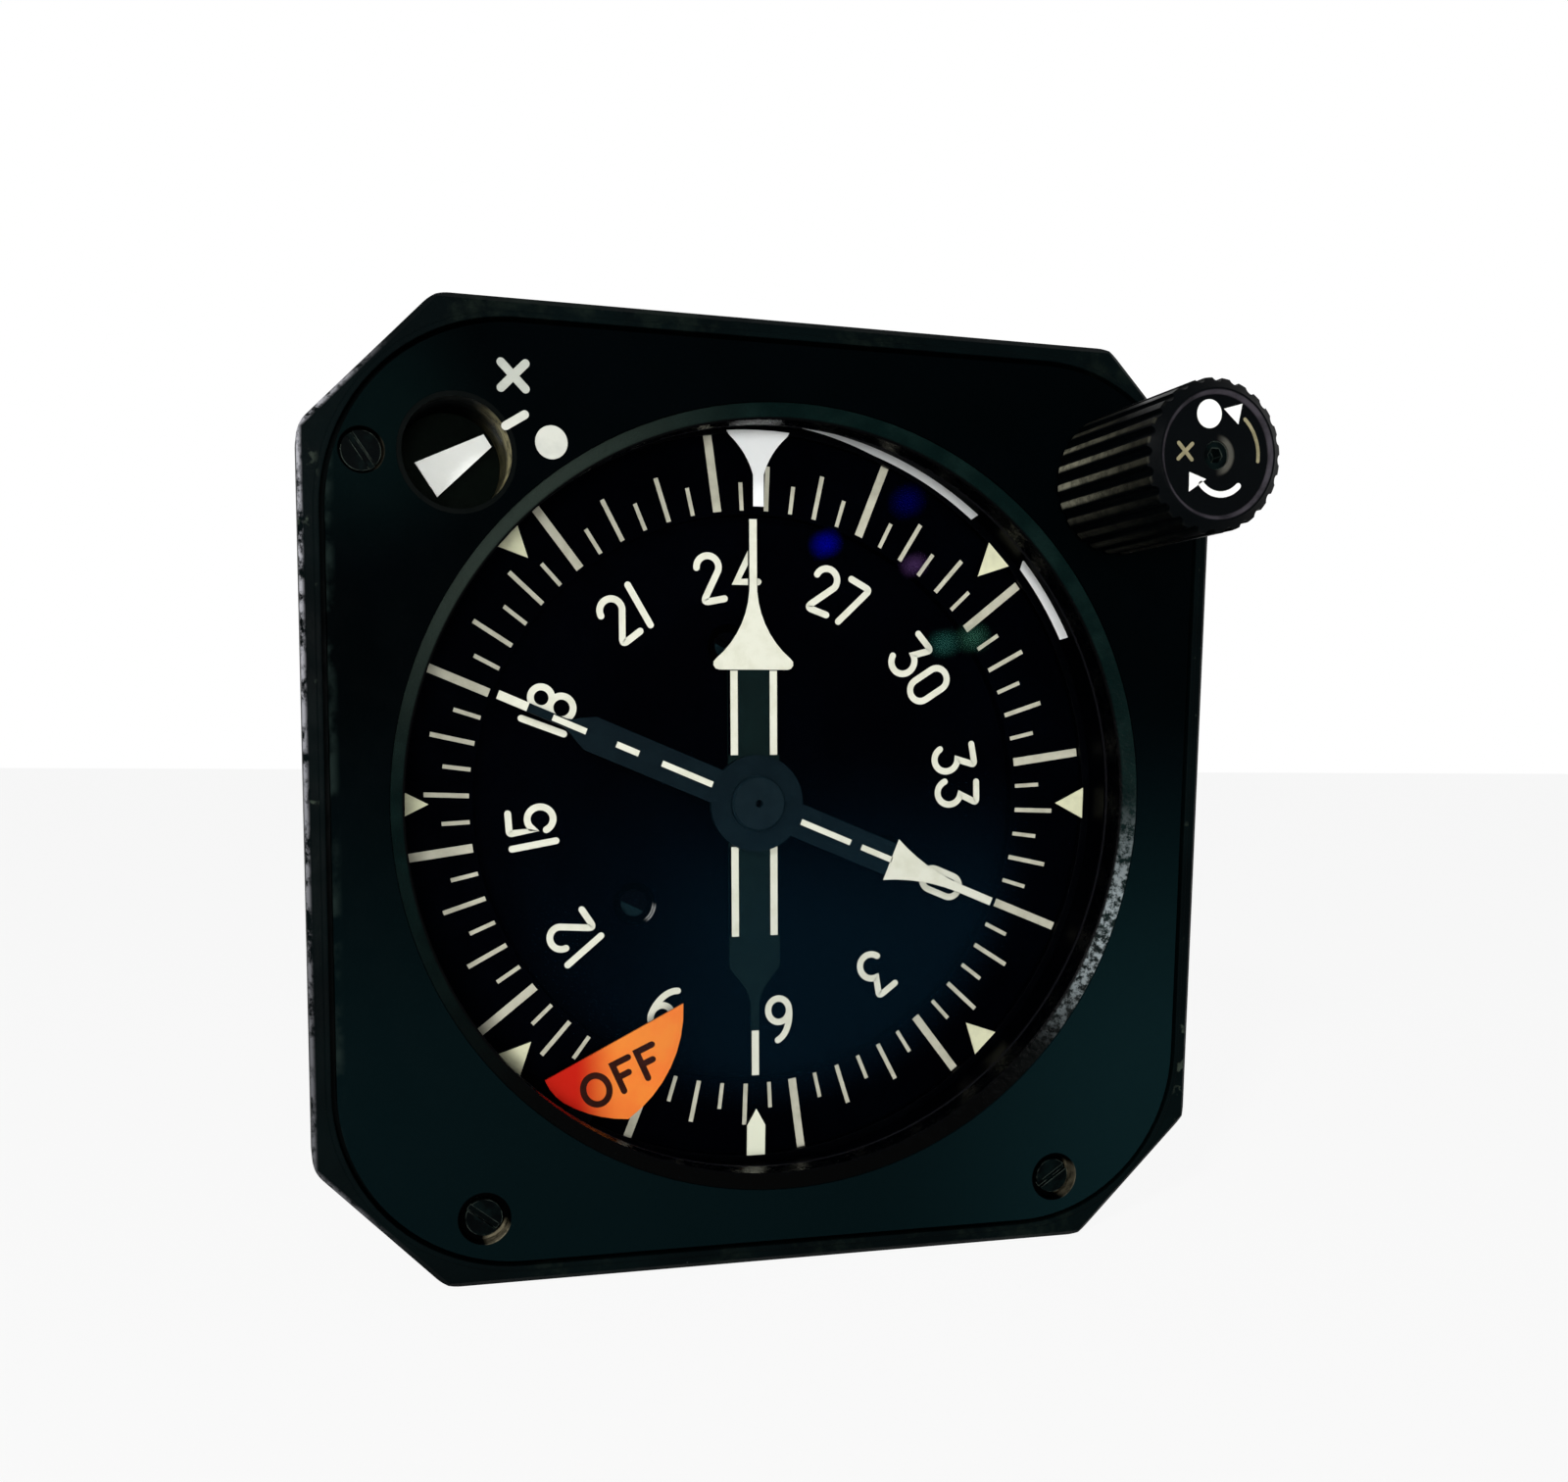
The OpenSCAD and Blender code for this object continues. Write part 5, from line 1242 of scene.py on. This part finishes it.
def flange_screw_tree():
    """A node tree that sets four slotted screw heads in a square, each slot turned its own way."""
    tree = bpy.data.node_groups.new("Flange Screws", "GeometryNodeTree")
    face = tree.interface
    face.new_socket("Geometry", in_out="INPUT", socket_type="NodeSocketGeometry")
    for name, kind in [("Centre", "Vector"), ("Spacing", "Float"), ("Head Radius", "Float"),
                       ("Head Height", "Float"), ("Slot Width", "Float"), ("Seed", "Int"),
                       ("Material", "Material")]:
        face.new_socket(name, in_out="INPUT", socket_type=f"NodeSocket{kind}")
    face.new_socket("Geometry", in_out="OUTPUT", socket_type="NodeSocketGeometry")
    new, link = tree.nodes.new, tree.links.new
    given = new("NodeGroupInput").outputs
    done = new("NodeGroupOutput")
    square = new("GeometryNodeMeshGrid")
    link(given["Spacing"], square.inputs["Size X"])
    link(given["Spacing"], square.inputs["Size Y"])
    square.inputs["Vertices X"].default_value = 2
    square.inputs["Vertices Y"].default_value = 2
    lay = new("GeometryNodeTransform")
    lay.inputs["Rotation"].default_value = (-math.pi / 2, 0.0, 0.0)
    link(square.outputs["Mesh"], lay.inputs["Geometry"])
    link(given["Centre"], lay.inputs["Translation"])
    head = new("GeometryNodeMeshCone")
    head.inputs["Vertices"].default_value = 32
    link(given["Head Radius"], head.inputs["Radius Bottom"])
    crown = new("ShaderNodeMath")
    crown.operation = "MULTIPLY"
    crown.inputs[1].default_value = 0.8
    link(given["Head Radius"], crown.inputs[0])
    link(crown.outputs[0], head.inputs["Radius Top"])
    link(given["Head Height"], head.inputs["Depth"])
    size = new("ShaderNodeCombineXYZ")
    size.inputs["X"].default_value = 6 * MM
    link(given["Slot Width"], size.inputs["Y"])
    link(given["Head Height"], size.inputs["Z"])
    slot = new("GeometryNodeMeshCube")
    link(size.outputs[0], slot.inputs["Size"])
    lifted = new("GeometryNodeTransform")
    rise = new("ShaderNodeCombineXYZ")
    link(given["Head Height"], rise.inputs["Z"])
    link(slot.outputs["Mesh"], lifted.inputs["Geometry"])
    link(rise.outputs[0], lifted.inputs["Translation"])
    cut = new("GeometryNodeMeshBoolean")
    cut.operation = "DIFFERENCE"
    link(head.outputs["Mesh"], cut.inputs["Mesh 1"])
    link(lifted.outputs[0], cut.inputs["Mesh 2"])
    stood = new("GeometryNodeTransform")
    stood.inputs["Rotation"].default_value = (-math.pi / 2, 0.0, 0.0)
    link(cut.outputs["Mesh"], stood.inputs["Geometry"])
    turn = new("FunctionNodeRandomValue")
    turn.data_type = "FLOAT_VECTOR"
    turn.inputs["Min"].default_value = (0.0, 0.0, 0.0)
    turn.inputs["Max"].default_value = (0.0, math.pi, 0.0)
    link(given["Seed"], turn.inputs["Seed"])
    spread = new("GeometryNodeInstanceOnPoints")
    link(lay.outputs[0], spread.inputs["Points"])
    link(stood.outputs[0], spread.inputs["Instance"])
    link(turn.outputs["Value"], spread.inputs["Rotation"])
    real = new("GeometryNodeRealizeInstances")
    link(spread.outputs[0], real.inputs[0])
    paint = new("GeometryNodeSetMaterial")
    link(real.outputs[0], paint.inputs["Geometry"])
    link(given["Material"], paint.inputs["Material"])
    link(paint.outputs[0], done.inputs[0])
    return tree


class ConnectorDetail(bpy.types.Operator):
    """Winds the coupling threads and sets the flange screws of the rear connectors"""
    bl_idname = "compass.connector_detail"
    bl_label = "Connector Detail"

    def execute(self, context):
        rear = context.scene.compass_connectors
        tree = thread_tree()
        for name, x in [("thread_left", -16.5), ("thread_right", 16.5)]:
            grown(name, tree, {
                "Turns": rear.thread_turns, "Radius": 9.42 * MM, "Pitch": rear.thread_pitch, "Crest": 0.3 * MM,
                "Start": (x * MM, 94.6 * MM, 0.0), "Material": finish("plating")}, "case")
        tree = flange_screw_tree()
        for name, x, seed in [("flange_screws_left", -16.5, 3), ("flange_screws_right", 16.5, 8)]:
            grown(name, tree, {
                "Centre": (x * MM, 93.0 * MM, 0.0), "Spacing": rear.screw_spacing, "Head Radius": 1.6 * MM,
                "Head Height": 0.9 * MM, "Slot Width": 0.4 * MM, "Seed": seed, "Material": finish("steel")},
                "case")
        return {"FINISHED"}


class StageSet(bpy.types.Operator):
    """Sets the pale floor, the soft lamps and the camera"""
    bl_idname = "compass.stage_set"
    bl_label = "Stage"

    def execute(self, context):
        scene = context.scene
        stage = scene.compass_stage
        scene.view_settings.view_transform = "Standard"
        floor_mesh = bpy.data.meshes.new("floor")
        half = 3.0
        base = -41.3 * MM
        corners = [(-half, -half, base), (half, -half, base), (half, half, base), (-half, half, base)]
        floor_mesh.from_pydata(corners, [], [(0, 1, 2, 3)])
        floor = bpy.data.objects.new("floor", floor_mesh)
        scene.collection.objects.link(floor)
        floor_mesh.materials.append(white_seen("floor_paper", tuple(stage.floor), 0.12))
        world = bpy.data.worlds.new("studio")
        scene.world = world
        world.use_nodes = True
        tree = world.node_tree
        tree.nodes.clear()
        out = tree.nodes.new("ShaderNodeOutputWorld")
        seen = tree.nodes.new("ShaderNodeBackground")
        seen.inputs["Color"].default_value = (1.0, 1.0, 1.0, 1.0)
        lit = tree.nodes.new("ShaderNodeBackground")
        lit.inputs["Color"].default_value = (0.95, 1.0, 1.0, 1.0)
        lit.inputs["Strength"].default_value = stage.world
        mix = tree.nodes.new("ShaderNodeMixShader")
        path = tree.nodes.new("ShaderNodeLightPath")
        shown = white_rays(tree, path)
        tree.links.new(shown, mix.inputs[0])
        tree.links.new(lit.outputs[0], mix.inputs[1])
        tree.links.new(seen.outputs[0], mix.inputs[2])
        tree.links.new(mix.outputs[0], out.inputs["Surface"])
        for name, spot, aim, size, power, colour in [
                ("key_lamp", (-0.35, -0.47, -0.06), (0, 0, 0), 0.35, stage.key, (1.0, 0.99, 0.96)),
                ("front_lamp", (-0.10, -0.42, -0.012), (0, 0, 0), 0.12, stage.front, (1.0, 1.0, 0.98)),
                ("upper_lamp", (-0.32, -0.44, 0.25), (0, 0, 0), 0.05, stage.upper, (1.0, 1.0, 1.0)),
                ("right_panel", (0.42, -0.30, -0.02), (0, 0, 0), 0.4, stage.right, (0.93, 1.0, 0.98)),
                ("low_panel", (0.15, -0.45, -0.25), (0, 0, 0), 0.3, stage.low, (0.95, 1.0, 0.98))]:
            lamp = bpy.data.lights.new(name, "AREA")
            lamp.size = size
            lamp.energy = power
            lamp.color = colour
            holder = bpy.data.objects.new(name, lamp)
            holder.location = spot
            holder.rotation_euler = (Vector(aim) - Vector(spot)).to_track_quat("-Z", "Y").to_euler()
            scene.collection.objects.link(holder)
        lens = bpy.data.cameras.new("camera")
        lens.lens = 36.2593
        lens.sensor_width = 36.0
        lens.shift_x = 0.0406926
        lens.shift_y = 0.1240042
        lens.clip_start = 0.01
        camera = bpy.data.objects.new("camera", lens)
        camera.location = (-0.0444516, -0.1364461, 0.0051303)
        camera.rotation_mode = "QUATERNION"
        camera.rotation_quaternion = (0.740640, 0.657172, -0.095804, -0.101977)
        scene.collection.objects.link(camera)
        scene.camera = camera
        return {"FINISHED"}


def white_rays(tree, path):
    """1 for the rays that see the background itself: the camera's, and those off metal or through glass."""
    straight = tree.nodes.new("ShaderNodeMath")
    straight.operation = "MAXIMUM"
    tree.links.new(path.outputs["Is Camera Ray"], straight.inputs[0])
    tree.links.new(path.outputs["Is Transmission Ray"], straight.inputs[1])
    either = tree.nodes.new("ShaderNodeMath")
    either.operation = "MAXIMUM"
    tree.links.new(straight.outputs[0], either.inputs[0])
    tree.links.new(path.outputs["Is Glossy Ray"], either.inputs[1])
    return either.outputs[0]


def white_seen(name, colour, lift):
    """Pale paper that looks white to the camera and in glossy and clear reflections, and keeps its shadow."""
    paper = Finish(name, colour, 0.9, 0.0, 0.1)
    cloud = paper.span(paper.noise(30, 3), 0.3, 0.7)
    paper.colour(paper.mixed(cloud, colour, tuple(c * 0.97 for c in colour)))
    tree = paper.tree
    glow = tree.nodes.new("ShaderNodeEmission")
    glow.inputs["Color"].default_value = (1.0, 1.0, 1.0, 1.0)
    glow.inputs["Strength"].default_value = 1.04
    path = tree.nodes.new("ShaderNodeLightPath")
    mix = tree.nodes.new("ShaderNodeMixShader")
    tree.links.new(paper.sum("MULTIPLY", white_rays(tree, path), 1.0 - lift), mix.inputs[0])
    tree.links.new(paper.shader.outputs[0], mix.inputs[1])
    tree.links.new(glow.outputs[0], mix.inputs[2])
    tree.links.new(mix.outputs[0], paper.output.inputs["Surface"])
    return paper.material


class CompassPanel(bpy.types.Panel):
    """Lists the steps that dress the indicator"""
    bl_idname = "VIEW3D_PT_compass"
    bl_label = "Compass Indicator"
    bl_space_type = "VIEW_3D"
    bl_region_type = "UI"
    bl_category = "Compass"

    def draw(self, context):
        for step in STEPS:
            self.layout.operator(step.bl_idname)


STEPS = [PaintFrame, DialTicks, DialFigures, WidePointerPaint, NarrowPointerPaint, FlagLetters,
         WellGlints, AnnunciatorMarks, KnobMarks, ConnectorDetail, StageSet]
GROUPS = {"compass_finishes": CompassFinishes, "compass_dial": CompassDial,
          "compass_connectors": CompassConnectors, "compass_stage": CompassStage}


def register():
    for group in GROUPS.values():
        bpy.utils.register_class(group)
    for step in STEPS + [CompassPanel]:
        bpy.utils.register_class(step)
    for name, group in GROUPS.items():
        setattr(bpy.types.Scene, name, bpy.props.PointerProperty(type=group))


def unregister():
    for name in GROUPS:
        delattr(bpy.types.Scene, name)
    for step in [CompassPanel] + STEPS[::-1]:
        bpy.utils.unregister_class(step)
    for group in GROUPS.values():
        bpy.utils.unregister_class(group)


def dress():
    """Runs every step in order."""
    register()
    bpy.ops.compass.paint_frame()
    bpy.ops.compass.dial_ticks()
    bpy.ops.compass.dial_figures()
    bpy.ops.compass.wide_pointer_paint()
    bpy.ops.compass.narrow_pointer_paint()
    bpy.ops.compass.flag_letters()
    bpy.ops.compass.well_glints()
    bpy.ops.compass.annunciator_marks()
    bpy.ops.compass.knob_marks()
    bpy.ops.compass.connector_detail()
    bpy.ops.compass.stage_set()


if __name__ == "__main__":
    dress()
